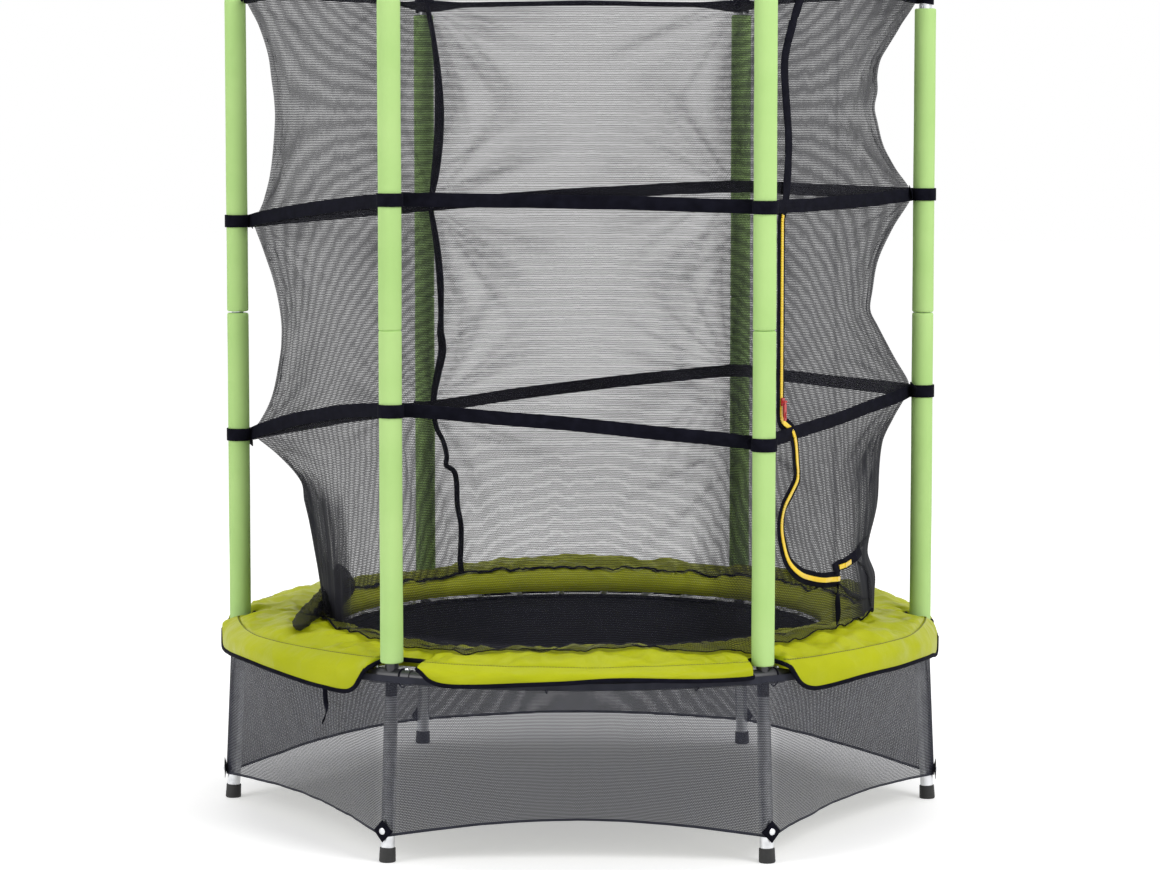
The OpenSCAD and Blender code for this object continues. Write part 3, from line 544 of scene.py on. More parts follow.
# The flap's outline: share of the way down, share of the way out and share of the drop
FLAP_OUT = [(0, 0), (0.15, 0.26), (0.35, 0.58), (0.55, 0.84), (0.70, 0.96), (0.80, 1.0), (1.0, 1.0)]
FLAP_DOWN = [(0, 0), (0.15, 0.08), (0.35, 0.25), (0.55, 0.46), (0.70, 0.64), (0.80, 0.76), (1.0, 1.0)]
# Outlines of the lip, from the inner edge, and of the groove that the stitched seam draws: out and up
LIP_LINE = [(0.010, 0.0), (0.001, 0.0015), (-0.0005, 0.007)]
GROOVE_LINE = [(-0.0022, 0.0012), (-0.0006, -0.0026), (0.0006, -0.0026)]
# Where the flap starts, out and up from the seam, and where the stitches lie
FLAP_FROM, STITCH_AT = (0.0020, 0.0004), (0.0020, 0.0002)
# The piping's middle, out and up from the pad's lower edge, in a notch and along a flap
NOTCH_PIPING, FLAP_PIPING = (0.002, 0.001), (-0.0018, -0.001)
PAD_TOP_STEPS, FLAP_STEPS = 27, 13
# Depth of the top's and the flaps' facets, and size of their cells
FACET_DEPTH, FACET_CELL = 0.0165, 0.085
SMALL_FACET_DEPTH, SMALL_FACET_CELL = 0.0090, 0.036
FLAP_FACET_DEPTH, FLAP_FACET_CELL = 0.0085, 0.06
# Depth of the top's long creases, of the puckers at the seam and of the flaps' slack
CREASE_DEPTH, CREASE_FROM = 0.0026, 0.74
PUCKER, FLAP_SLACK = 0.0022, 0.0026
PIPING_R = 0.0042
STITCH_R, STITCHES = 0.0009, 124
STITCH_FROM, STITCH_STEP, STITCH_LONG = 2, 0.45, 0.33
# Above this height the net can't touch the pad
PAD_TOP_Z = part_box("safety_pad")[1].z + 0.012


def pad_angles():
    """Degrees of the pad's sections, which lie closer near the notches."""
    fine = [k * 0.25 for k in range(48)]
    panel = fine + [12 + k * 0.5 for k in range(72)] + [48 + off for off in fine]
    return [pole * 60 + off for pole in range(POLES) for off in panel]


def around(points, degrees):
    """A smooth closed line through (degrees, value) points."""
    degrees %= 360
    before, after = points[-1], points[0]
    return curve([(before[0] - 360, before[1])] + points + [(after[0] + 360, after[1])], degrees)


def past_notch(degrees):
    """How many degrees an angle lies past the nearest notch's edge."""
    pole = int(math.floor(degrees / 60 + 0.5))
    off = degrees - pole * 60
    clockwise, other = NOTCHES[pole % POLES]
    return -off - clockwise if off < 0 else off - other


def flap_share(degrees):
    """0 in a notch and 1 where a flap has its full reach."""
    return smooth(past_notch(degrees) / FLAP_RUN)


def pad_reach(degrees):
    """The pad's outer radius."""
    wave = 0.0016 * rough(degrees * 0.11, 3.1, 0.0)
    return mix(NOTCH_R, PAD_OUTER_R - 0.001 + wave, flap_share(degrees))


def seam_r(degrees):
    """Radius of the seam that joins the top and the flaps."""
    return mix(NOTCH_R - 0.003, around(SEAM_R, degrees), flap_share(degrees))


def seam_t(degrees):
    """Height of that seam over the pad's underside."""
    ripple = 0.0012 * rough(degrees * 0.13, 1.9, 4.0)
    return mix(NOTCH_SEAM_T, SEAM_T + ripple, flap_share(degrees))


def pad_hem_z(degrees):
    """Height of the pad's lower edge."""
    degrees %= 360
    hems = FLAP_HEMS.get(int(degrees // 60), PLAIN_HEM)
    off = degrees % 60
    wave = 0.0012 * rough(degrees * 0.09, 7.7, 0.0) * smooth(past_notch(degrees) / 3)
    ends = (hems[0][0] - 0.8, NOTCH_HEM_Z), (hems[-1][0] + 0.8, NOTCH_HEM_Z)
    low = curve([(0, NOTCH_HEM_Z), ends[0]] + hems + [ends[1], (60, NOTCH_HEM_Z)], off)
    return min(NOTCH_HEM_Z, low + wave)


def crumple(x, y, cell):
    """Facets between sharp creases, from about -0.5 to 0.5, for cells of one size."""
    near = noise.voronoi(Vector((x / cell, y / cell, 0.37)))[0]
    return near[0] - 0.45


def pad_puff(degrees, share):
    """Wrinkles of the pad's top, in metres, at a share of the way from its inner edge to the seam."""
    a = degrees
    soft = 0.0030 * rough(a * 0.075, share * 2.0, 1.3) + 0.0018 * rough(a * 0.21, share * 4.0, 4.0)
    ridge = 1 - abs(rough(a * 0.12 + share * 2.6, share * 1.8, 9.2)) * 2.2
    crease = -CREASE_DEPTH * max(0.0, ridge - CREASE_FROM) / (1 - CREASE_FROM)
    x, y = math.radians(a) * RING_R, share * PAD_TOP_RUN
    warp = 0.02 * rough(x * 6, y * 6, 5.5)
    facets = FACET_DEPTH * crumple(x + warp, y * 1.4 - warp, FACET_CELL)
    facets += SMALL_FACET_DEPTH * crumple(x - warp, y + warp, SMALL_FACET_CELL)
    free = smooth(share / 0.12) * smooth((1.0 - share) / 0.05)
    pucker = PUCKER * rough(a * 0.95, share * 1.5, 2.2) * smooth((share - 0.70) / 0.2)
    return (soft + crease + facets) * free + pucker * smooth((1.0 - share) / 0.03)


def crown_height(degrees, share):
    """Height of the top over the pad's underside."""
    crown = around(CROWN_Z, degrees) - PAD_UNDER_Z
    edge = EDGE_T if share < CROWN_AT else seam_t(degrees)
    return mix(edge, crown, curve(CROWN_LINE, share)) + pad_puff(degrees, share)


def pad_top_z(degrees, r):
    """Height of the pad's top at a radius, where a thing that lies on it rests."""
    share = clamp((r - PAD_INNER_R) / (seam_r(degrees) - PAD_INNER_R))
    return PAD_UNDER_Z + crown_height(degrees, share)


# Offsets of the spots round a place where cloth may rest
REST_DEGREES, REST_METRES = (-0.45, 0, 0.45), (-0.006, 0, 0.006)


def pad_rest_z(degrees, r):
    """Height at which cloth lies on the pad: on the highest of the spots round a place."""
    return max(pad_top_z(degrees + a, r + b) for a in REST_DEGREES for b in REST_METRES)


def clear_of_pad(p):
    """A point of the net, lifted onto the pad where it would sink into it."""
    if p.z > PAD_TOP_Z:
        return p
    lowest = pad_rest_z(heading(p), math.hypot(p.x, p.y)) + LYING_CLEAR
    return Vector((p.x, p.y, max(p.z, lowest)))


def flap_point(degrees, down, seam, top, outer, hem):
    """The flap slopes out from its seam and then hangs, with puckers along the stitches."""
    drop = top - hem
    out = mix(seam, outer, curve(FLAP_OUT, down)) - 0.001 * smooth(down * 8)
    pucker = PUCKER * rough(degrees * 0.9, down * 2.0, 8.0) * bump_at(down, 0.22, 0.2)
    free = smooth(down * 2) * (1 - smooth((down - 0.6) / 0.4))
    swing = FLAP_SLACK * rough(degrees * 0.16, down * 1.2, 6.0) * free
    facets = 0.12 + crumple(math.radians(degrees) * RING_R, down * 0.05, FLAP_FACET_CELL)
    swing += FLAP_FACET_DEPTH * facets * bump_at(down, 0.5, 0.4)
    return out + (pucker + swing) * clamp(drop / 0.03), top - drop * curve(FLAP_DOWN, down)


def pad_section(degrees):
    """The pad's outline at an angle: lip, top, groove, flap and back along the underside."""
    angle = math.radians(degrees)
    inner = PAD_LIP_R + 0.0015 * rough(degrees * 0.1, 5.0, 2.0)
    seam, outer, hem = seam_r(degrees), pad_reach(degrees), pad_hem_z(degrees)
    top = PAD_UNDER_Z + seam_t(degrees)
    droop = PAD_UNDER_Z - PAD_DROOP
    line = [(inner + out, droop + up) for out, up in LIP_LINE]
    shares = [k / PAD_TOP_STEPS for k in range(PAD_TOP_STEPS)]
    line += [(mix(inner, seam, share), PAD_UNDER_Z + crown_height(degrees, share)) for share in shares]
    line += [(seam + out, top + up) for out, up in GROOVE_LINE]
    downs = [k / FLAP_STEPS for k in range(FLAP_STEPS + 1)]
    start = (seam + FLAP_FROM[0], top + FLAP_FROM[1])
    line += [flap_point(degrees, down, *start, outer, hem) for down in downs]
    wall = outer - FLAP_WALL
    line += [(wall, hem), (wall, mix(top, hem, 0.72)), (min(wall - 0.002, seam + 0.006), PAD_UNDER_Z)]
    line += [(mix(inner, outer, 0.5), PAD_UNDER_Z), (inner + 0.030, PAD_UNDER_Z)]
    return [polar(r, angle, z) for r, z in line]


def make_pad():
    pile = Pile()
    sections = [pad_section(a) for a in pad_angles()]
    pile.sweep(sections[::-1], closed=True)
    pad = pile.made("pad")
    soft_edges(pad, 60)
    dress(pad, PAD, stands_for=["safety_pad"])


def make_piping():
    pile, points = Pile(), []
    for a in pad_angles():
        out, up = (mix(notch, flap, flap_share(a)) for notch, flap in zip(NOTCH_PIPING, FLAP_PIPING))
        points.append(polar(pad_reach(a) + out, math.radians(a), pad_hem_z(a) + up))
    pile.cord(points, PIPING_R, 10, closed=True)
    dress(pile.made("pad_binding"), WEBBING, stands_for=["pad_piping"])


def make_pad_stitches():
    """Thread along the seam where the flaps are sewn on. Its dark olive, darker than the pad, is painted
    shade that draws the seam's groove as a dark line.
    """
    pile = Pile()
    out, up = STITCH_AT
    offsets = [STITCH_FROM + k * STITCH_STEP for k in range(STITCHES)]
    for start in (panel * 60 + off for panel in range(POLES) for off in offsets):
        if flap_share(start) < 0.7:
            continue
        ends = [polar(seam_r(a) + out, math.radians(a), PAD_UNDER_Z + seam_t(a) + up)
                for a in (start, start + STITCH_LONG)]
        pile.cord(ends, STITCH_R, 5)
    dress(pile.made("pad_stitches"), GROOVE_SHADE_THREAD)


# ---- Enclosure net ----

# Distance of the net from the axis where a band holds it, a little clear of the foam or the bare pole
POLE_CLEAR = 0.0026
CORNER_R = RING_R - FOAM_R - POLE_CLEAR
TOP_CORNER_R = RING_R - POLE_R - POLE_CLEAR
NET_FOOT_Z = PAD_UNDER_Z + 0.030
NET_COLUMNS, NET_ROWS, HEM_ROWS = 84, 200, 12
# Width of one panel of the net, laid flat
PANEL_W = RING_R * STEP * 0.92
ZIP_NORMAL = facing(ZIP_PANEL + 0.5)
# Height of lying cloth over the pad
LYING_CLEAR = 0.003
# How near to a pole, as a share of a panel, the net's folds crowd and its thread looks thicker
CROWD_WIDTH, THREAD_WIDTH = 0.30, 0.13
# How far the net draws in between two bands, at a panel's middle and beside each pole
MIDDLE_DRAW = 0.012
WAIST = [0.076, 0.060, 0.052, 0.047, 0.058, 0.062]
# Folds fade between these distances from the place that they spread from
FOLD_FULL, FOLD_REACH = 0.10, 0.36
SOFT_DEPTH, PULL_DEPTH, GATHER_DEPTH, FOLD_DEPTH = 0.0040, 0.0045, 0.006, 0.0045
# Where the net's outline shows at the sides: height and radius, from the lower band up
SIDE_LINES = {
    R_POLE: [(0.805, 0.6424), (0.825, 0.640), (0.875, 0.612), (0.932, 0.582), (0.961, 0.568), (1.000, 0.571),
             (1.059, 0.581), (1.120, 0.609), (1.175, 0.641), (1.187, 0.6424), (1.200, 0.639), (1.217, 0.629),
             (1.249, 0.609), (1.282, 0.591), (1.328, 0.578), (1.355, 0.572), (1.387, 0.577), (1.417, 0.576),
             (1.447, 0.582), (1.473, 0.597), (1.506, 0.618), (1.551, 0.645)],
    L_POLE: [(0.725, 0.6424), (0.746, 0.625), (0.790, 0.604), (0.844, 0.592), (0.922, 0.582), (0.970, 0.585),
             (1.020, 0.596), (1.070, 0.613), (1.117, 0.630), (1.135, 0.636), (1.150, 0.625), (1.200, 0.607),
             (1.253, 0.596), (1.330, 0.590), (1.370, 0.592), (1.408, 0.5975), (1.451, 0.604), (1.486, 0.6145),
             (1.522, 0.629), (1.561, 0.647)],
}
# Below the lower band, beside each pole: share of the way down to the foot, and the radius there
LOW_LINES = {
    R_POLE: [(0, 0.6424), (0.12, 0.615), (0.24, 0.593), (0.52, 0.584), (0.735, 0.562), (0.85, 0.577),
             (1, 0.572)],
    L_POLE: [(0, 0.6424), (0.12, 0.592), (0.27, 0.548), (0.39, 0.541), (0.80, 0.509), (1, 0.492)],
}
PLAIN_LOW = [(0, 0.6424), (0.3, 0.578), (0.6, 0.535), (1, 0.500)]
# Where the net's lower edge lies on the pad, by angle, and where each panel's middle comes down to it
FOOT_R = [(0, 0.560), (20, 0.520), (60, 0.500), (120, 0.500), (160, 0.506), (180, 0.512), (195, 0.525),
          (205, 0.540), (219, 0.567), (226, 0.585), (243, 0.606), (257, 0.610), (274, 0.610), (290, 0.616),
          (299, 0.626), (306, 0.630), (312, 0.608), (325, 0.588), (335, 0.582), (343, 0.580), (352, 0.570)]
ANKLE_R = [0.515, 0.500, 0.500, 0.512, 0.520, 0.566]


def foot_r(degrees):
    """Radius of the net's lower edge."""
    return around(FOOT_R, degrees) + 0.003 * rough(degrees * 0.08, 0.4, 8.0)


def held_z(heights, panel, t):
    """Height of a band at a place on a panel."""
    return mix(heights[panel % POLES], heights[(panel + 1) % POLES], t)


def stretch_at(low, high, z):
    """Which stretch of the net a height is in, and how far that is from the stretch's start."""
    if z > high:
        return "top", clamp((z - high) / (TOP_HEM_Z - high))
    if z > low:
        return "middle", (z - low) / (high - low)
    return "foot", clamp((low - z) / (low - NET_FOOT_Z))


def corner_r(pole, z):
    """Distance of the net from the axis beside a pole."""
    pole %= POLES
    if pole in SIDE_LINES and z > LOWER_Z[pole]:
        return curve(SIDE_LINES[pole] + [(TOP_HEM_Z, TOP_CORNER_R)], z)
    stretch, share = stretch_at(LOWER_Z[pole], UPPER_Z[pole], z)
    if stretch == "foot":
        return curve(LOW_LINES.get(pole, PLAIN_LOW), share)
    end = TOP_CORNER_R if stretch == "top" else CORNER_R
    return mix(CORNER_R, end, share) - WAIST[pole] * math.sin(math.pi * share) ** 0.8


def middle_r(panel, z):
    """Distance of a panel's middle from the axis."""
    flat = math.cos(STEP / 2)
    stretch, share = stretch_at(held_z(LOWER_Z, panel, 0.5), held_z(UPPER_Z, panel, 0.5), z)
    draw = MIDDLE_DRAW * math.sin(math.pi * share)
    if stretch == "foot":
        return mix(CORNER_R * flat, ANKLE_R[panel % POLES], share ** 0.9) - draw
    end = TOP_CORNER_R if stretch == "top" else CORNER_R
    return mix(CORNER_R, end, share) * flat - draw


def tension(panel, t, z):
    """Folds that spread from the places where the bands hold the net, from 0 to 1."""
    total = 0.0
    for pole, across in ((panel, t), (panel + 1, 1 - t)):
        for k, held in enumerate((LOWER_Z[pole % POLES], UPPER_Z[pole % POLES], TOP_HEM_Z)):
            x, y = across * RING_R, z - held
            far = math.hypot(x, y)
            if far > FOLD_REACH or far < 0.004:
                continue
            ridge = 1 - abs(rough(math.atan2(y, x) * 3.1, pole * 3.7 + k * 1.9, far * 1.5)) * 3.4
            fading = 1 - smooth((far - FOLD_FULL) / (FOLD_REACH - FOLD_FULL))
            total += max(0.0, ridge) ** 2 * smooth(far / 0.05) * fading
    return min(1.0, total)


def beside_poles(t, width):
    return bump_at(t, 0.0, width) + bump_at(t, 1.0, width)


def net_wrinkle(panel, t, z):
    """Folds of the net, in metres inwards."""
    low, high = held_z(LOWER_Z, panel, t), held_z(UPPER_Z, panel, t)
    free = min(1.0, min(abs(z - held) for held in (low, high, TOP_HEM_Z)) / 0.05)
    side = beside_poles(t, CROWD_WIDTH)
    a = (panel + t) * 6.0
    soft = SOFT_DEPTH * rough(a * 0.9, z * 3.0, 2.0)
    pulls = PULL_DEPTH * rough(a * 3.4 + z * 2.0, z * 1.3, 5.0) * (0.25 + side)
    gathers = GATHER_DEPTH * smooth((low - z) / 0.2) * rough(a * 3.6, z * 1.1, 11.0)
    return (soft + pulls + gathers + FOLD_DEPTH * tension(panel, t, z)) * free


def net_point(panel, t, z, out=0.0):
    """A point of the net's surface on a panel, t of the way along it, at a height."""
    start, end = (polar(corner_r(pole, z), pole * STEP, z) for pole in (panel, panel + 1))
    normal = facing(panel + 0.5)
    chord = start.lerp(end, t)
    bulge = middle_r(panel, z) - start.lerp(end, 0.5).dot(normal)
    shape = 4 * t * (1 - t)
    return chord + normal * (bulge * shape - net_wrinkle(panel, t, z) + out)


# Half the thread's width in centimetres, panel by panel, above the lower band and below it
THREAD = [0.087, 0.034, 0.074, 0.088, 0.034, 0.099]
LOW_THREAD = [0.100, 0.048, 0.078, 0.090, 0.048, 0.118]
CREASE_THREAD, TAIL_THREAD, FOOT_THREAD = 0.150, 0.120, 0.092
# What adds to it beside a pole, in a taut fold, near the foot and in the zip panel's long fold
POLE_EXTRA, TAUT_EXTRA, FOOT_EXTRA, FOLD_EXTRA = 0.016, 0.045, 0.015, 0.030
# A fold that runs down the zip's panel: its distance to the right, its sway and half its width
FOLD_X, FOLD_SWAY, FOLD_HALF = 0.480, 0.004, 0.007
# Where the net is gathered above the pad: place in panels, width, height where it starts, run, and amount
GATHERS = [(L_POLE + 0.18, 0.54, 0.67, 0.08, 0.105), (ZIP_PANEL + 1.0, 0.52, 0.80, 0.16, 0.050),
           (ZIP_PANEL + 0.90, 0.34, 0.60, 0.12, 0.045)]


def gathered(panel, t, z):
    """How much thicker the thread looks where the net is bunched together."""
    total = 0.0
    for place, width, top, run, amount in GATHERS:
        streak = 0.80 + 1.0 * rough((panel + t) * 26, z * 2.0, 3.3) + smooth((0.48 - z) / 0.06)
        there = clamp(2 * bump_at(panel + t, place, width)) * smooth((top - z) / run)
        total += amount * there * clamp(streak)
    return total


def thread_of(panel, t, z):
    """How far the net's mesh is drawn together, as half the thread's width."""
    below = smooth((held_z(LOWER_Z, panel, t) - z) / 0.08)
    other = (panel + (1 if t > 0.5 else -1)) % POLES
    share = 0.5 + 0.5 * smooth(min(t, 1 - t) / 0.06)
    own, beside = (mix(THREAD[p], LOW_THREAD[p], below) for p in (panel % POLES, other))
    foot = FOOT_EXTRA * smooth((NET_FOOT_Z + 0.10 - z) / 0.1)
    fold = 0.0
    if panel == ZIP_PANEL:
        fold_x = FOLD_X + FOLD_SWAY * rough(z * 6, 0, 0)
        fold = FOLD_EXTRA * bump_at(net_point(panel, t, z).x, fold_x, FOLD_HALF)
    pulled = POLE_EXTRA * beside_poles(t, THREAD_WIDTH) + TAUT_EXTRA * tension(panel, t, z)
    return mix(beside, own, share) + pulled + foot + gathered(panel, t, z) + fold


# Creases that double the net near the zip's end: width, and points (distance to the right, height)
CREASES = [(0.011, [(0.515, 0.509), (0.536, 0.519), (0.556, 0.531)]),
           (0.013, [(0.554, 0.460), (0.557, 0.430), (0.559, 0.400)]),
           (0.008, [(0.531, 0.491), (0.546, 0.475), (0.557, 0.450)]),
           (0.010, [(0.490, 0.460), (0.520, 0.432), (0.549, 0.418)])]
CREASE_T, CREASE_STEP, CREASE_LIFT = 0.0008, 0.005, 0.0015


def make_creases():
    """Narrow doubled strips of net along its sharpest creases."""
    pile = Pile()
    for width, route in CREASES:
        points = on_net(ZIP_PANEL, route, CREASE_STEP, CREASE_LIFT)
        last = len(points) - 1
        widths = [width * (0.25 + 0.75 * smooth(min(k, last - k) / (0.3 * last))) for k in range(last + 1)]
        pile.strap(points, [ZIP_NORMAL] * (last + 1), widths, CREASE_T)
    creases = dress(pile.made("net_creases"), NET)
    set_thread(creases, [CREASE_THREAD] * len(pile.points))
    return creases


def make_net():
    columns = [(panel, k / NET_COLUMNS) for panel in range(POLES) for k in range(NET_COLUMNS)]
    across = [(panel + t) * PANEL_W for panel, t in columns + [(POLES, 0.0)]]
    grid, maps, threads = [], [], []
    for row in range(NET_ROWS + 1):
        z = mix(NET_FOOT_Z, TOP_HEM_Z + WEB_W * 0.3, row / NET_ROWS)
        line = [clear_of_pad(net_point(panel, t, z)) for panel, t in columns]
        thread = [thread_of(panel, t, z) for panel, t in columns]
        grid.append(line + [line[0].copy()])
        threads.append(thread + thread[:1])
        maps.append([(u, z) for u in across])
    # The lowest stretch turns outwards and lies on the pad
    ankle = grid[0]
    for k in range(1, HEM_ROWS + 1):
        share = k / HEM_ROWS
        line = []
        for p in ankle:
            degrees = heading(p)
            r = mix(math.hypot(p.x, p.y), foot_r(degrees), share)
            ripple = 0.003 * abs(rough(degrees * 0.9, share * 2, 3.0))
            lying = pad_rest_z(degrees, r) + LYING_CLEAR + ripple
            z = mix(p.z, lying, smooth(share * 2.2))
            line.append(clear_of_pad(polar(r, math.radians(degrees), z)))
        grid.insert(0, line)
        threads.insert(0, [FOOT_THREAD] * len(line))
        maps.insert(0, [(u, NET_FOOT_Z - 0.006 * k) for u in across])
    net = sheet_object("net", grid, maps)
    set_thread(net, [value for row in threads for value in row])
    dress(net, NET, stands_for=numbered("net_panel"))
    extras = [make_foot_hem(grid[0][:-1]), make_creases()]


# Width of the net's turned-up edge, by angle
FOOT_HEM_LIFT = 0.0012
FOOT_HEM_W = [(0, 0.004), (60, 0.006), (110, 0.010), (175, 0.010), (200, 0.006), (225, 0.004), (300, 0.003),
              (345, 0.004)]


def make_foot_hem(line):
    """The net's lower edge is turned up and sewn, which draws a thin dark line."""
    pile = Pile()
    normals = [Vector((-0.3 * p.x, -0.3 * p.y, 1.0)) for p in line]
    widths = [around(FOOT_HEM_W, heading(p)) for p in line]
    pile.strap([p + UP * FOOT_HEM_LIFT for p in line], normals, widths, WEB_T, closed=True)
    return dress(pile.made("net_foot_hem"), WEBBING)


# Centre line of the corner of net that lies rolled up over the pad beside the left pole, with its half
# thickness across and upwards
TAIL = [(-0.476, 0.022, 0.456, 0.007, 0.006), (-0.471, 0.012, 0.447, 0.016, 0.011),
        (-0.467, -0.004, 0.438, 0.024, 0.014), (-0.468, -0.035, 0.427, 0.029, 0.017),
        (-0.478, -0.095, 0.413, 0.028, 0.018), (-0.492, -0.165, 0.406, 0.024, 0.017),
        (-0.505, -0.235, 0.402, 0.019, 0.016), (-0.515, -0.300, 0.398, 0.017, 0.015),
        (-0.519, -0.345, 0.394, 0.014, 0.012), (-0.518, -0.366, 0.391, 0.006, 0.006)]
TAIL_STEPS, TAIL_SIDES = 60, 28
# The roll lies on the pad up to this radius, a little clear of it
LYING_R, TAIL_CLEAR = 0.66, 0.002


def make_tail():
    """A corner of the net is rolled up and lies over the pad."""
    last = len(TAIL) - 1
    lines = [list(enumerate(column)) for column in zip(*TAIL)]

    def centre_at(mark):
        return Vector([curve(line, min(max(mark, 0), last)) for line in lines[:3]])

    sections = []
    for k in range(TAIL_STEPS + 1):
        at = last * k / TAIL_STEPS
        along = (centre_at(at + 0.1) - centre_at(at - 0.1)).normalized()
        side = along.cross(Vector((0.5, 0.1, 1))).normalized()
        up = side.cross(along)
        wide, high = curve(lines[3], at), curve(lines[4], at)
        ring = []
        for a in turns(TAIL_SIDES):
            x, y = math.cos(a), math.sin(a)
            folds = 1 + 0.20 * rough(x * 2.2 + at, y * 2.2, at * 1.9) + 0.12 * rough(x * 5, y * 5, at * 3.0)
            p = centre_at(at) + (side * (wide * x) + up * (high * y)) * folds
            r = math.hypot(p.x, p.y)
            if PAD_INNER_R < r < LYING_R:
                p.z = max(p.z, pad_rest_z(math.degrees(math.atan2(p.y, p.x)), r) + TAIL_CLEAR)
            ring.append(p)
        sections.append(ring)
    pile = Pile()
    pile.sweep(sections)
    tail = dress(pile.made("net_tail"), NET)
    set_thread(tail, [TAIL_THREAD] * len(pile.points))


# ---- Bands, hem and loops ----

# How far a band's middle rises above the straight line between its poles, panel by panel
UPPER_BOW = [0.0, 0.004, 0.0, 0.006, 0.003, -0.004]
LOWER_BOW = [0.0, 0.006, 0.004, 0.015, 0.004, -0.004]
HEM_BOW = [0.007] * POLES
# How far a band stands off the net at a pole, and how much more between two poles
BAND_CLEAR, BAND_LIFT = 0.0010, 0.003
BAND_TWIST = 0.25
BAND_STEPS = 40


def band_line(heights, bows, corner):
    """Points along a band, straight from pole to pole but for its bows, and which way it faces."""
    points, normals = [], []
    for panel in range(POLES):
        a, b = polar(corner, panel * STEP), polar(corner, (panel + 1) * STEP)
        normal = facing(panel + 0.5)
        for k in range(BAND_STEPS):
            t = k / BAND_STEPS
            p = a.lerp(b, t) + normal * (BAND_LIFT * inside(t, 12))
            z = held_z(heights, panel, t) + bows[panel] * 4 * t * (1 - t)
            z += 0.0012 * rough(panel + t * 5, heights[0] * 9, 0.0)
            points.append(Vector((p.x, p.y, z)))
            at_pole = facing(panel if t < 0.5 else panel + 1)
            twist = UP * (BAND_TWIST * rough(panel * 7 + t * 3, heights[1] * 5, 2.0))
            normals.append(at_pole.lerp(normal, inside(t, 20)) + twist)
    return points, normals


def make_band(name, heights, bows, corner, stands_for, rolled=1.0):
    """A closed strap round the net. The hem rolls up between the poles, to a share of its width."""
    pile = Pile()
    points, normals = band_line(heights, bows, corner + BAND_CLEAR)
    marks = [(k % BAND_STEPS) / BAND_STEPS for k in range(len(points))]
    widths = [WEB_W * mix(1, rolled, inside(t, 7)) for t in marks]
    pile.strap(points, normals, widths, WEB_T, closed=True)
    band = dress(pile.made(name), WEBBING, stands_for=stands_for)


LOW_TURNS, TOP_TURNS = 1.12, 1.3
# A wound strap starts this far off the pole, and climbs this much in each turn
WRAP_CLEAR, WRAP_CLIMB = 0.0009, 0.0019
WRAP_STEPS, END_STEPS = 46, 6
# Lengths of the loops' loose ends: at the side poles, at the others and at the top
SIDE_END, PLAIN_END, TOP_END = 0.022, 0.008, 0.018
# The second loop at the top, over the first: how much higher, and how much further out
TOP_LOOP_UP, TOP_LOOP_OUT = 0.006, 0.002
# How far the loose ends of the loops droop that show at the sides, by pole and band
END_DROOPS = {(R_POLE, 0): 0.5, (R_POLE, 1): 0.6, (L_POLE, 1): -1.0}


def wrap(pile, pole, z, radius, turned, start, tilt, tail, droop):
    """A strap wound round a pole, from a start in degrees, with a loose end that droops by a share."""
    centre = polar(RING_R, pole * STEP)
    points, normals = [], []
    steps = int(WRAP_STEPS * turned)
    for k in range(steps + 1):
        a = pole * STEP + math.radians(start) + 2 * math.pi * turned * k / steps
        r = radius + WRAP_CLEAR + WRAP_CLIMB * turned * k / steps
        normals.append(polar(1, a))
        height = z + tilt * math.cos(a - pole * STEP)
        points.append(centre + normals[-1] * r + UP * height)
    end, out = points[-1], normals[-1]
    along = (end - points[-2]).normalized()
    for k in range(1, END_STEPS + 1):
        s = k / END_STEPS
        points.append(end + along * tail * s * 0.6 + out * 0.006 * s + UP * (droop * s * s * tail))
        normals.append(out)
    pile.strap(points, normals, WEB_W * 0.96, WEB_T)


def make_loops():
    pile = Pile()
    for pole in range(POLES):
        tail = SIDE_END if pole in (R_POLE, L_POLE) else PLAIN_END
        for k, z in enumerate((UPPER_Z[pole], LOWER_Z[pole])):
            tilt = 0.002 * rough(pole, k, 3.0)
            droop = END_DROOPS.get((pole, k), -0.3)
            wrap(pile, pole, z, FOAM_R, LOW_TURNS, 150 + 20 * k, tilt, tail, droop)
        for k in range(2):
            z, r = TOP_HEM_Z + TOP_LOOP_UP * k, POLE_R + TOP_LOOP_OUT * k
            wrap(pile, pole, z, r, TOP_TURNS, 120 * k, 0.004 * (k - 0.5), TOP_END, 0.4 - k)
    loops = dress(pile.made("pole_straps"), WEBBING, stands_for=["pole_loops"])


# ---- Seam tape and zip ----

# Routes as (distance to the right, height), from the top down
SEAM_ROUTE = [(-0.332, 1.569), (-0.323, 1.496), (-0.317, 1.434), (-0.313, 1.361), (-0.313, 1.288),
              (-0.316, 1.225), (-0.318, 1.172), (-0.326, 1.137), (-0.322, 1.088), (-0.314, 1.032),
              (-0.308, 0.973), (-0.304, 0.920), (-0.296, 0.878), (-0.294, 0.846), (-0.305, 0.793),
              (-0.313, 0.751), (-0.313, 0.715), (-0.307, 0.683), (-0.292, 0.655), (-0.284, 0.623),
              (-0.286, 0.608), (-0.269, 0.596), (-0.263, 0.570), (-0.261, 0.528), (-0.253, 0.485),
              (-0.253, 0.442), (-0.255, 0.410), (-0.262, 0.386)]
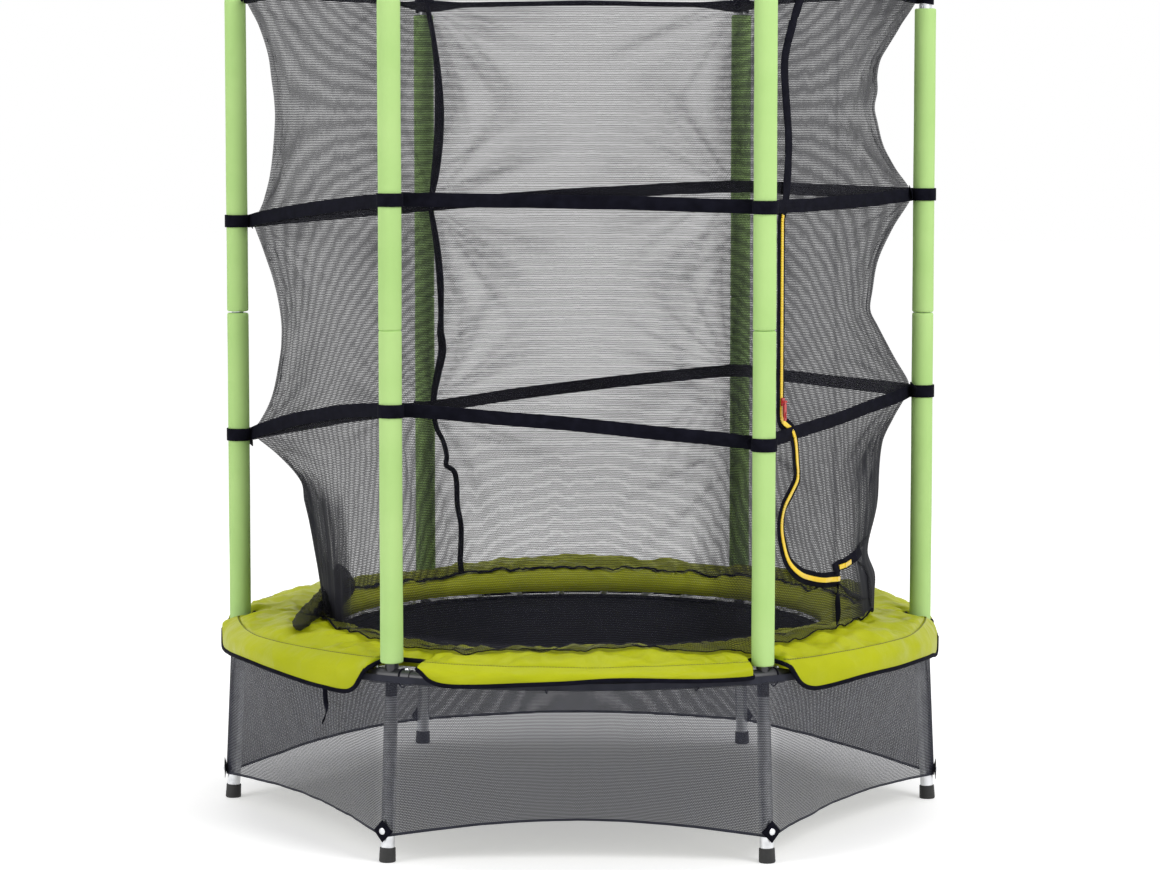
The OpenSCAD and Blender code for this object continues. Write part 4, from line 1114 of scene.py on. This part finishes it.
# Height and width of the seam's tape, which twists as it hangs
SEAM_WIDTHS = [(0.38, 0.012), (0.60, 0.011), (0.66, 0.010), (0.72, 0.012), (0.80, 0.016), (0.86, 0.017),
               (0.92, 0.012), (1.00, 0.015), (1.10, 0.013), (1.16, 0.010), (1.22, 0.018), (1.34, 0.020),
               (1.42, 0.015), (1.50, 0.011)]
ZIP_ROUTE = [(0.405, 1.570), (0.382, 1.493), (0.371, 1.439), (0.374, 1.376), (0.379, 1.313), (0.379, 1.259),
             (0.375, 1.205), (0.370, 1.160), (0.3684, 1.100), (0.3684, 0.960), (0.3684, 0.830),
             (0.376, 0.792), (0.391, 0.755), (0.397, 0.707), (0.399, 0.675), (0.388, 0.649), (0.375, 0.622),
             (0.370, 0.588), (0.374, 0.554), (0.386, 0.516), (0.411, 0.490), (0.442, 0.477), (0.488, 0.471)]
ZIP_END = [(0.474, 0.491), (0.484, 0.495), (0.502, 0.499), (0.518, 0.504), (0.534, 0.512)]
ROUTE_STEP = 0.006
SEAM_TAPE_T, ZIP_TAPE_T = 0.0014, 0.0012
# How far the tapes' middles stand out from the net, and the teeth from their tape
SEAM_LIFT, ZIP_LIFT, END_LIFT, TEETH_LIFT = -0.003, 0.0035, 0.0045, 0.0016
ZIP_W, END_W = 0.028, 0.020
SLIDER_LIFT = 0.0075
# The end's teeth lie a little below its middle, and are left out at both its ends
END_DROP, END_TEETH = 0.003, slice(2, 7)
ZIP_SEAT = Vector((middle("zip_slider", 0), middle("zip_slider", 1), 0)) - ZIP_NORMAL * SLIDER_LIFT
# Between these heights the zip runs straight up, where its slider travels
STRAIGHT_FROM, STRAIGHT_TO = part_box("zip_slider")[0].z - 0.05, 1.180
EASE_IN = 0.03
TEETH_TOP_Z = 1.165
TOOTH_W, TOOTH_T = 0.0090, 0.0019


def find_t(panel, x, z):
    """How far along a panel the net's surface has a given x."""
    low, high = 0.0, 1.0
    rising = net_point(panel, 1.0, z).x > net_point(panel, 0.0, z).x
    for _ in range(26):
        t = (low + high) / 2
        if (net_point(panel, t, z).x < x) == rising:
            low = t
        else:
            high = t
    return (low + high) / 2


def along_route(route, spacing):
    """Points (x, z) along a smooth line through a route, a spacing apart."""
    length, marks = 0.0, [0.0]
    for (x0, z0), (x1, z1) in zip(route, route[1:]):
        length += math.hypot(x1 - x0, z1 - z0)
        marks.append(length)
    xs = list(zip(marks, [p[0] for p in route]))
    zs = list(zip(marks, [p[1] for p in route]))
    count = int(length / spacing)
    return [(curve(xs, length * k / count), curve(zs, length * k / count)) for k in range(count + 1)]


def on_net(panel, route, spacing, out):
    """Points on a panel along a route of (distance to the right, height)."""
    return [net_point(panel, find_t(panel, x, z), z, out) for x, z in along_route(route, spacing)]


def make_seam_tape():
    points = on_net(BACK_PANEL, SEAM_ROUTE, ROUTE_STEP, SEAM_LIFT)
    normal = facing(BACK_PANEL + 0.5)
    normals = [normal + Vector((0.7 * rough(p.z * 7, 0, 0), 0, 0.3 * rough(p.z * 9, 4, 0))) for p in points]
    pile = Pile()
    pile.strap(points, normals, [curve(SEAM_WIDTHS, p.z) for p in points], SEAM_TAPE_T)
    tape = dress(pile.made("seam_tape"), WEBBING, stands_for=["net_seam_tape"])


def straightened(p):
    """A point of the zip, moved over its slider's path where that runs."""
    share = smooth((p.z - STRAIGHT_FROM) / EASE_IN) * smooth((STRAIGHT_TO - p.z) / EASE_IN)
    return p + (Vector((ZIP_SEAT.x, ZIP_SEAT.y, p.z)) - p) * share


def make_zip():
    line = [straightened(p) for p in on_net(ZIP_PANEL, ZIP_ROUTE, ROUTE_STEP, ZIP_LIFT)]
    end = on_net(ZIP_PANEL, ZIP_END, ROUTE_STEP, END_LIFT)
    seat = ZIP_NORMAL * TEETH_LIFT
    chain = [p + seat for p in line if p.z < TEETH_TOP_Z]
    end_chain = [p + seat - UP * END_DROP for p in end[END_TEETH]]
    tape, teeth = Pile(), Pile()
    for points, lean, width, places in ((line, 0.0, ZIP_W, chain), (end, 0.25, END_W, end_chain)):
        normals = [ZIP_NORMAL + Vector((0.1 * rough(p.z * 20, 1, 0), 0, lean)) for p in points]
        tape.strap(points, normals, width, ZIP_TAPE_T)
        for p, following in zip(places, places[1:]):
            pitch = following - p
            tooth(teeth, p, pitch)
            tooth(teeth, p + pitch * 0.5, pitch)
    zip_tape = dress(tape.made("zip_webbing"), WEBBING, stands_for=["zip_tape"])
    dress(teeth.made("zip_teeth", flat=True), YELLOW, stands_for=["zip_coil"])


def tooth(pile, p, pitch):
    """One element of the zip's chain, a small block with a rounded back."""
    along = pitch.normalized()
    across = ZIP_NORMAL.cross(along).normalized()
    w, t = TOOTH_W, TOOTH_T
    outline = [(-w / 2, 0), (-w / 2, t * 0.7), (-w * 0.3, t), (w * 0.3, t), (w / 2, t * 0.7), (w / 2, 0)]
    half = along * (pitch.length * 0.21)
    pile.sweep([[p + across * u + ZIP_NORMAL * v + end for u, v in outline] for end in (-half, half)])


# ---- Foam sleeves ----

# How far each pole's sleeve ends above the T-joint's mouth, and how much higher its upper one ends
SLEEVE_LIFTS = [0.0015, 0.0015, 0.0015, 0.0015, 0.0105, 0.0060]
SLEEVE_TOPS = [0.0, 0.004, 0.004, 0.018, 0.0, 0.0]
# How far the two sleeves of each pole stand apart
SLEEVE_GAPS = [0.0012, 0.0010, 0.0010, 0.0034, 0.0, 0.0008]
FOAM_SIDES, FOAM_STEP = 40, 0.012
FOAM_DENT, FOAM_RAGGED, FOAM_INSET = 0.00045, 0.0005, 0.0003
# Clearance of the bore on the pole, and of the upper sleeve's end below the CAD one's
BORE_CLEAR, TOP_CLEAR = 0.0008, 0.0015


def foam_tube(pile, pole, z0, z1, seed):
    centre = polar(RING_R, pole * STEP)
    inner = POLE_R + BORE_CLEAR
    rim = [(inner, 0.006), (inner, 0.0), (FOAM_R - 0.0022, 0.0), (FOAM_R - 0.0004, 0.0016)]
    steps = int((z1 - z0) / FOAM_STEP)
    lines = [(r, z0 + up) for r, up in rim]
    lines += [(FOAM_R, mix(z0 + 0.004, z1 - 0.004, k / steps)) for k in range(steps + 1)]
    lines += [(r, z1 - up) for r, up in rim[::-1]]
    sections = []
    for r, z in lines:
        ring = []
        dented = FOAM_DENT if r > inner + 0.002 else 0
        for a in turns(FOAM_SIDES):
            dent = dented * rough(math.cos(a) * 1.3 + seed, math.sin(a) * 1.3, z * 7)
            ragged = FOAM_RAGGED * rough(a * 1.7, seed * 3.1, z0) * smooth(1 - min(z - z0, z1 - z) / 0.01)
            ring.append(centre + polar(r + dent - FOAM_INSET, a, z + ragged))
        sections.append(ring)
    pile.sweep(sections, capped=False)


def make_foam():
    meet_z = (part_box("foam_sleeves_lower")[1].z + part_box("foam_sleeves_upper")[0].z) / 2
    top_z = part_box("foam_sleeves_upper")[1].z - TOP_CLEAR
    for part, seed in (("lower", 0.0), ("upper", 7.0)):
        pile = Pile()
        for pole in range(POLES):
            ends = (PAD_UNDER_Z + SLEEVE_LIFTS[pole], meet_z - SLEEVE_GAPS[pole] / 2)
            if part == "upper":
                ends = (meet_z + SLEEVE_GAPS[pole] / 2, top_z + SLEEVE_TOPS[pole])
            foam_tube(pile, pole, *ends, pole + seed)
        foam = pile.made("foam_" + part)
        soft_edges(foam, 50)
        dress(foam, FOAM, stands_for=["foam_sleeves_" + part])


# ---- Mat ----

MAT_SIDES, MAT_STEPS, UNDER_STEPS = 160, 40, 12
MAT_HEM_W, HEM_T, CLOTH_T, MAT_DISH = 0.034, 0.0040, 0.0022, 0.004
# How far in from the mat's edge its two rows of stitches run, and how deep they lie
MAT_STITCH_ROWS, MAT_STITCH_DEEP = (0.029, 0.010), 0.0008
MAT_STITCHES, MAT_STITCH_R = 420, 0.0005


def mat_z(x, y):
    """How far the mat's cloth stands off its plane: it dishes a little, with soft waves."""
    dish = MAT_DISH * ((math.hypot(x, y) / MAT_R) ** 2 - 1)
    return dish + 0.0022 * rough(x * 3.2, y * 3.2, 0.7) + 0.0009 * rough(x * 9, y * 9, 3.0)


def mat_outline():
    """The mat's section from its middle out over the hem and back below: radius and height."""
    hem_in = MAT_R - MAT_HEM_W
    line = [(MAT_R * 0.0001, 0.0)] + [(hem_in * k / MAT_STEPS, 0.0) for k in range(1, MAT_STEPS + 1)]
    line += [(hem_in + 0.0008, 0.0022), (hem_in + 0.004, 0.0030), (MAT_R - 0.016, 0.0032)]
    line += [(MAT_R - 0.004, 0.0030), (MAT_R - 0.001, 0.0015), (MAT_R - 0.0002, -0.002)]
    line += [(MAT_R - 0.003, -0.0045), (hem_in, -HEM_T)]
    return line + [(hem_in * (1 - k / UNDER_STEPS) + 1e-4, -CLOTH_T) for k in range(1, UNDER_STEPS + 1)]


def make_mat():
    base, sections = MAT_Z - HEM_T, []
    for a in turns(MAT_SIDES):
        ring = [polar(r, -a, base + z) for r, z in mat_outline()]
        sections.append([p + UP * mat_z(p.x, p.y) for p in ring])
    pile = Pile()
    pile.sweep(sections, closed=True)
    mat = pile.made("mat_cloth")
    soft_edges(mat, 40)
    dress(mat, MAT, body="mat", stands_for=["jump_mat"])


def make_mat_stitches():
    """Two rows of stitching round the mat's hem."""
    pile = Pile()
    for inset in MAT_STITCH_ROWS:
        for k in range(MAT_STITCHES):
            p, q = (polar(MAT_R - inset, 2 * math.pi * (k + share) / MAT_STITCHES) for share in (0, 0.62))
            p.z = q.z = MAT_Z - MAT_STITCH_DEEP + mat_z(p.x, p.y)
            pile.cord([p, q], MAT_STITCH_R, 5)
    dress(pile.made("mat_stitches"), WEBBING, body="mat")


# ---- Springs ----

SPRINGS = 36
SPRING_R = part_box("springs")[1].z - RAIL_Z
SPRING_WIRE_R = 0.001
SPRING_LEAD, RAIL_BEND = 0.012, 0.004
HOOK_R, HOOK_DROP = 0.0055, 0.006
COIL_TURNS, TURN_SIDES = 30, 10
HOOK_STEPS, LEAD_STEPS = 16, 5


def spring_reach():
    """Smallest and largest radius of the CAD springs."""
    radii = [math.hypot(v.co.x, v.co.y) for v in nodes["springs"].data.vertices]
    return min(radii), max(radii)


def spring_line(low, high):
    """A spring's wire from the mat's ring to the rail: distance from the axis, sideways, upwards."""
    hook_centre, rail_end = low + SPRING_WIRE_R + HOOK_R, high - SPRING_WIRE_R
    hook_end = hook_centre + HOOK_R
    coil_start, coil_end = hook_end + SPRING_LEAD, rail_end - RAIL_BEND - SPRING_LEAD
    coil_r = SPRING_R - SPRING_WIRE_R
    line = []
    for k in range(HOOK_STEPS + 1):
        turn = math.radians(mix(-180, 90, k / HOOK_STEPS))
        line.append((hook_centre + HOOK_R * math.sin(turn), 0, -HOOK_R * math.cos(turn)))
    leads = [k / LEAD_STEPS for k in range(1, LEAD_STEPS + 1)]
    line += [(mix(hook_end, coil_start, s), 0, coil_r * smooth(s * 1.6 - 0.6)) for s in leads]
    steps = COIL_TURNS * TURN_SIDES
    for k in range(1, steps + 1):
        turn = 2 * math.pi * k / TURN_SIDES
        line.append((mix(coil_start, coil_end, k / steps), coil_r * math.sin(turn), coil_r * math.cos(turn)))
    line += [(mix(coil_end, rail_end, s), 0, coil_r * (1 - smooth(s * 1.6))) for s in leads]
    return line + [(rail_end, 0, -HOOK_DROP)]


def make_springs():
    """Each spring stretches between its hook in the mat's ring and its end in the rail."""
    low, high = spring_reach()
    line = spring_line(low, high)
    for index in range(SPRINGS):
        angle = (index + 0.5) * 2 * math.pi / SPRINGS
        side = polar(1, angle + math.pi / 2)
        pile = Pile()
        pile.cord([polar(r, angle, RAIL_Z + up) + side * aside for r, aside, up in line], SPRING_WIRE_R, 5)
        spring = dress(pile.made(f"spring_{index + 1}"), STEEL, body=None, stands_for=["springs"])
        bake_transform(spring)


# ---- Skirt ----

# The skirt hangs over the rail's outside, and its tabs lie on it at the legs
RAIL_OUT, TAB_LIFT = 0.0174, 0.0022
SKIRT_TOP_R = RING_R + RAIL_OUT
SKIRT_TOP_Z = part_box("skirt_net")[1].z
SKIRT_LOW_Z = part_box("skirt_net")[0].z
SKIRT_CORNER_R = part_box("skirt_net")[1].x - 0.0008
# Rise of the skirt's lower edge at the middle of each panel
SKIRT_RISE = [0.012, 0.020, 0.020, 0.014, 0.028, 0.014]
SKIRT_DRAW = 0.013
SKIRT_WAVE, SKIRT_RIPPLE, SKIRT_INSET = 0.004, 0.002, 0.002
# How near to a leg, in panels, the skirt's thread changes
LEG_WIDTH = 0.035
SKIRT_COLUMNS, SKIRT_ROWS = 48, 44
SKIRT_THREAD = [0.112, 0.112, 0.112, 0.101, 0.117, 0.094]
SKIRT_HEM_THREAD = 0.25
# Poles beside which the mesh is seen edge on, or stretched open, and the change of its thread there
LEG_THREADS = [(L_POLE, 0.07), (R_POLE, 0.07), (R_POLE + POLES, 0.07), (FL_POLE, -0.040), (FR_POLE, -0.040)]


def skirt_point(panel, column, v):
    """v runs from 0 at the top to 1 at the lower edge."""
    t = column / SKIRT_COLUMNS
    angle = (panel + t) * STEP
    off = (t - 0.5) * STEP
    arch = 1 - (2 * t - 1) ** 2
    low_r = SKIRT_CORNER_R * math.cos(STEP / 2) / math.cos(off) - SKIRT_DRAW * arch
    low_z = SKIRT_LOW_Z + SKIRT_RISE[panel] * arch
    r = mix(SKIRT_TOP_R, low_r, v)
    free = inside(t, 8) * smooth(v * 3)
    place = panel + t
    wave = SKIRT_WAVE * rough(place * 7, v * 0.8, 3.0) + SKIRT_RIPPLE * rough(place * 26, v * 1.5, 6.0)
    return polar(r + (wave - SKIRT_INSET) * free, angle, mix(SKIRT_TOP_Z, low_z, v))


def skirt_thread(place):
    """Half the thread's width in the skirt, at a place counted in panels."""
    changes = [change * bump_at(place, pole, LEG_WIDTH) for pole, change in LEG_THREADS]
    return SKIRT_THREAD[int(place) % POLES] + sum(changes)


def make_skirt():
    columns = POLES * SKIRT_COLUMNS
    grid, maps, threads = [], [], []
    for row in range(SKIRT_ROWS + 1):
        v = 1 - row / SKIRT_ROWS
        line = [skirt_point(*divmod(k, SKIRT_COLUMNS), v) for k in range(columns)]
        grid.append(line + [line[0].copy()])
        maps.append([(k * STEP * RING_R / SKIRT_COLUMNS, -v * 0.29) for k in range(columns + 1)])
        hemmed = row == 0 or row >= SKIRT_ROWS - 1
        places = [k / SKIRT_COLUMNS for k in range(columns + 1)]
        threads += [SKIRT_HEM_THREAD if hemmed else skirt_thread(place) for place in places]
    skirt = sheet_object("skirt", grid, maps)
    set_thread(skirt, threads)
    dress(skirt, SKIRT, stands_for=["skirt_net"])


TAB_Z = 0.058
TAB_SIDE, TAB_T, TAB_CELLS = 0.029, 0.0014, 8
TAB_BEND = 9.0


def tab_points(pole):
    """Front and back of one tab, a square that stands on a corner."""
    out = facing(pole)
    side = UP.cross(out)
    seat = out * (SKIRT_CORNER_R + TAB_LIFT) + UP * TAB_Z
    marks = [k / TAB_CELLS - 0.5 for k in range(TAB_CELLS + 1)]
    front, back = [], []
    for i in marks:
        for j in marks:
            across, rise = (i - j) * TAB_SIDE * math.sqrt(0.5), (i + j) * TAB_SIDE * math.sqrt(0.5)
            bend = 0.0006 * rough(across * 60 + pole, rise * 60, 1.0) - TAB_BEND * across * across
            back.append(seat + side * across + UP * rise + out * bend)
            front.append(back[-1] + out * (TAB_T - 0.0012 * max(abs(i), abs(j))))
    return front + back


def make_tabs():
    """Squares of doubled webbing, bent a little round each leg."""
    pile = Pile()
    n = TAB_CELLS
    size = (n + 1) ** 2
    rim = list(range(n)) + [n + (n + 1) * i for i in range(n)]
    rim += [size - 1 - i for i in rim]
    for pole in range(POLES):
        start = len(pile.points)
        pile.points += tab_points(pole)
        pile.uvs += [(0, 0)] * (size * 2)
        pile.faces += grid_faces(n + 1, n + 1, start=start)
        pile.faces += grid_faces(n + 1, n + 1, start=start + size, flip=True)
        for a, b in zip(rim, rim[1:] + rim[:1]):
            pile.faces.append([start + b, start + a, start + size + a, start + size + b])
    tabs = dress(pile.made("skirt_corner_tabs"), WEBBING, stands_for=["skirt_tabs"])


# ---- Ties and loose straps ----

# Degrees of each panel's ties from its pole, and how far each loop reaches from the rail's middle
TIES = ((2.0, 0.0150), (25.4, 0.0132), (48.6, 0.0132))
TIE_SIDES, TIE_R, TIE_SLACK, TIE_SWAY = 20, 0.0016, 0.25, 0.002


def make_ties():
    """Elastic loops that hold the pad to the rail and hang a little below it."""
    pile = Pile()
    for pole in range(POLES):
        for off, reach in TIES:
            angle = pole * STEP + math.radians(off)
            along = polar(1, angle + math.pi / 2)
            points = []
            for j, a in enumerate(turns(TIE_SIDES)):
                slack = 1 + TIE_SLACK * max(0.0, -math.sin(a)) ** 3
                r, z = RING_R + reach * math.cos(a), RAIL_Z + reach * math.sin(a) * slack
                points.append(polar(r, angle, z) + along * TIE_SWAY * rough(angle * 5, j * 0.3, 0))
            pile.cord(points, TIE_R, 6, closed=True)
    dress(pile.made("elastic_ties"), WEBBING, stands_for=["pad_ties"])


# Where a tie strap hangs below the pad's flap, in degrees, and the widths of the two tie straps
FLAP_TIE_AT = 228.8
FLAP_TIE_W, ZIP_TIE_W, TIE_STRAP_T = 0.009, 0.010, 0.0013
ZIP_TIE_LONG = 0.085
# How far a hanging strap sways sideways and outwards, and how far it turns
HANG_SIDE, HANG_OUT, HANG_TURN, HANG_STEPS = 0.006, 0.004, 1.1, 22


def hanging(pile, top, out, length, width, seed):
    """A short tie strap, a little creased, that hangs by itself."""
    points, normals = [], []
    side = UP.cross(out)
    for k in range(HANG_STEPS + 1):
        s = k / HANG_STEPS
        sway = side * HANG_SIDE * math.sin(s * 4.2 + seed) + out * HANG_OUT * math.sin(s * 6.0 + seed * 2)
        points.append(top + sway * s - UP * (length * s))
        turn = HANG_TURN * math.sin(s * 5.0 + seed)
        normals.append(out * math.cos(turn) + side * math.sin(turn))
    pile.strap(points, normals, width, TIE_STRAP_T)


def make_straps():
    pile = Pile()
    angle = math.radians(FLAP_TIE_AT)
    top = polar(PAD_OUTER_R - 0.004, angle, pad_hem_z(FLAP_TIE_AT) - 0.003)
    length = top.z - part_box("tie_straps")[0].z - 0.001
    hanging(pile, top, polar(1, angle), length, FLAP_TIE_W, 0.4)
    x, z = ZIP_ROUTE[-1][0] - 0.006, ZIP_ROUTE[-1][1] - 0.008
    top = net_point(ZIP_PANEL, find_t(ZIP_PANEL, x, z), z, 0.006)
    hanging(pile, top, ZIP_NORMAL, ZIP_TIE_LONG, ZIP_TIE_W, 2.0)
    straps = dress(pile.made("loose_ties"), WEBBING, stands_for=["tie_straps"])


# ---- Everything ----

make_pad()
make_piping()
make_pad_stitches()
make_net()
make_tail()
make_band("band_upper", UPPER_Z, UPPER_BOW, CORNER_R, ["net_band_upper"])
make_band("band_lower", LOWER_Z, LOWER_BOW, CORNER_R, ["net_band_lower"])
make_band("top_hem", [TOP_HEM_Z] * POLES, HEM_BOW, TOP_CORNER_R, ["net_top_hem"], rolled=0.42)
make_loops()
make_seam_tape()
make_zip()
make_foam()
make_mat()
make_mat_stitches()
make_springs()
make_skirt()
make_tabs()
make_ties()
make_straps()

repaint(PAINT, *numbered("frame_rail", "t_joint"))
repaint(POLE_STEEL, *numbered("pole_lower"))
repaint(STEEL, *numbered("leg", "pole_upper"), "joint_screws", "mat_rings", "skirt_snaps")
repaint(RUBBER, "foot_caps", "pole_caps")
repaint(RED, "zip_slider", "zip_pull")


# ---- Floor, light and camera ----

# Floor glow: weaker near the object, a painted shadow round it, and rising far out so the floor stays white
# where the lamps fall off
SHADED_FLOOR_GLOW, FLOOR_GLOW_FAR = 0.42, 0.57
FLOOR_NEAR_R, FLOOR_FAR_R = 0.5, 4.0
FLOOR_SIDE, FLOOR_CELLS = 60.0, 24
FLOOR_Z = -0.0004
WORLD_LIGHT = 0.55


def in_view(tree):
    """1 for rays from the camera, also by way of a reflection or a clear material."""
    rays = node(tree, "LightPath").outputs
    seen = computed(tree, "MAXIMUM", rays["Is Camera Ray"], rays["Is Glossy Ray"])
    return computed(tree, "MAXIMUM", seen, rays["Is Transmission Ray"])


def floor_material():
    """White floor that keeps the object's shadow, and glows fully white far from it. Its glow is weaker near
    the object, which paints a darker shadow round it.
    """
    look = Look("floor_white", roughness=0.9, specular_ior_level=0.0)
    look.shader.inputs["Base Color"].default_value = (0.80, 0.80, 0.80, 1)
    tree = look.tree
    away = node(tree, "VectorMath", operation="LENGTH")
    look.link(look.place, away.inputs[0])
    reach = {"From Min": FLOOR_NEAR_R, "From Max": FLOOR_FAR_R}
    far = node(tree, "MapRange", interpolation_type="SMOOTHSTEP", **reach)
    look.link(away.outputs["Value"], far.inputs["Value"])
    # The glow rises from its dim near value, the painted shadow, to its far value
    strength = computed(tree, "MULTIPLY_ADD", far.outputs["Result"], FLOOR_GLOW_FAR - SHADED_FLOOR_GLOW, SHADED_FLOOR_GLOW)
    glow = node(tree, "Emission")
    look.link(computed(tree, "MULTIPLY", in_view(tree), strength), glow.inputs["Strength"])
    both = node(tree, "AddShader")
    look.link(look.shader.outputs[0], both.inputs[0])
    look.link(glow.outputs[0], both.inputs[1])
    look.link(both.outputs[0], tree.nodes["Material Output"].inputs["Surface"])
    return look.material


def make_floor():
    pile = Pile()
    marks = [(i / FLOOR_CELLS - 0.5) * FLOOR_SIDE for i in range(FLOOR_CELLS + 1)]
    pile.points = [Vector((x, y, FLOOR_Z)) for x in marks for y in marks]
    pile.uvs = [(p.x, p.y) for p in pile.points]
    pile.faces = grid_faces(len(marks), len(marks), flip=True)
    floor = pile.made("floor")
    floor.data.materials.append(floor_material())


def make_world():
    """Plain light all round, and a white background."""
    world = bpy.data.worlds.new("studio")
    bpy.context.scene.world = world
    world.use_nodes = True
    tree = world.node_tree
    back = tree.nodes["Background"]
    back.inputs["Color"].default_value = (1, 1, 1, 1)
    strength = computed(tree, "MULTIPLY_ADD", in_view(tree), 1.0 - WORLD_LIGHT, WORLD_LIGHT)
    tree.links.new(strength, back.inputs["Strength"])


def area_light(name, place, target, size, watts):
    lamp = bpy.data.lights.new(name, "AREA")
    lamp.shape = "RECTANGLE"
    lamp.size, lamp.size_y = size
    lamp.energy = watts
    obj = bpy.data.objects.new(name, lamp)
    obj.location = place
    obj.rotation_euler = (Vector(target) - Vector(place)).to_track_quat("-Z", "Y").to_euler()
    bpy.context.scene.collection.objects.link(obj)


CAMERA_DISTANCE, CAMERA_HEIGHT = 6.730, 1.342
CAMERA_SWING, CAMERA_PITCH = math.radians(0.491), math.radians(84.698)
FOCAL_PIXELS, IMAGE_WIDTH = 3459.0, 1160.0
SENSOR = 36.0


def make_camera():
    data = bpy.data.cameras.new("camera")
    data.sensor_width = SENSOR
    data.lens = FOCAL_PIXELS / IMAGE_WIDTH * SENSOR
    camera = bpy.data.objects.new("camera", data)
    camera.location = polar(CAMERA_DISTANCE, CAMERA_SWING - math.pi / 2, CAMERA_HEIGHT)
    camera.rotation_euler = (CAMERA_PITCH, 0, CAMERA_SWING)
    bpy.context.scene.collection.objects.link(camera)
    bpy.context.scene.camera = camera


make_floor()
make_world()
area_light("key", (3.2, -3.2, 3.5), (0, 0, 0.7), (2.4, 2.4), 122)
area_light("fill", (-3.6, -2.6, 2.4), (0, 0, 0.7), (2.0, 3.0), 62)
area_light("top", (0.0, 0.6, 4.2), (0, 0, 0.4), (3.0, 3.0), 78)
make_camera()
bpy.context.scene.view_settings.view_transform = "Standard"
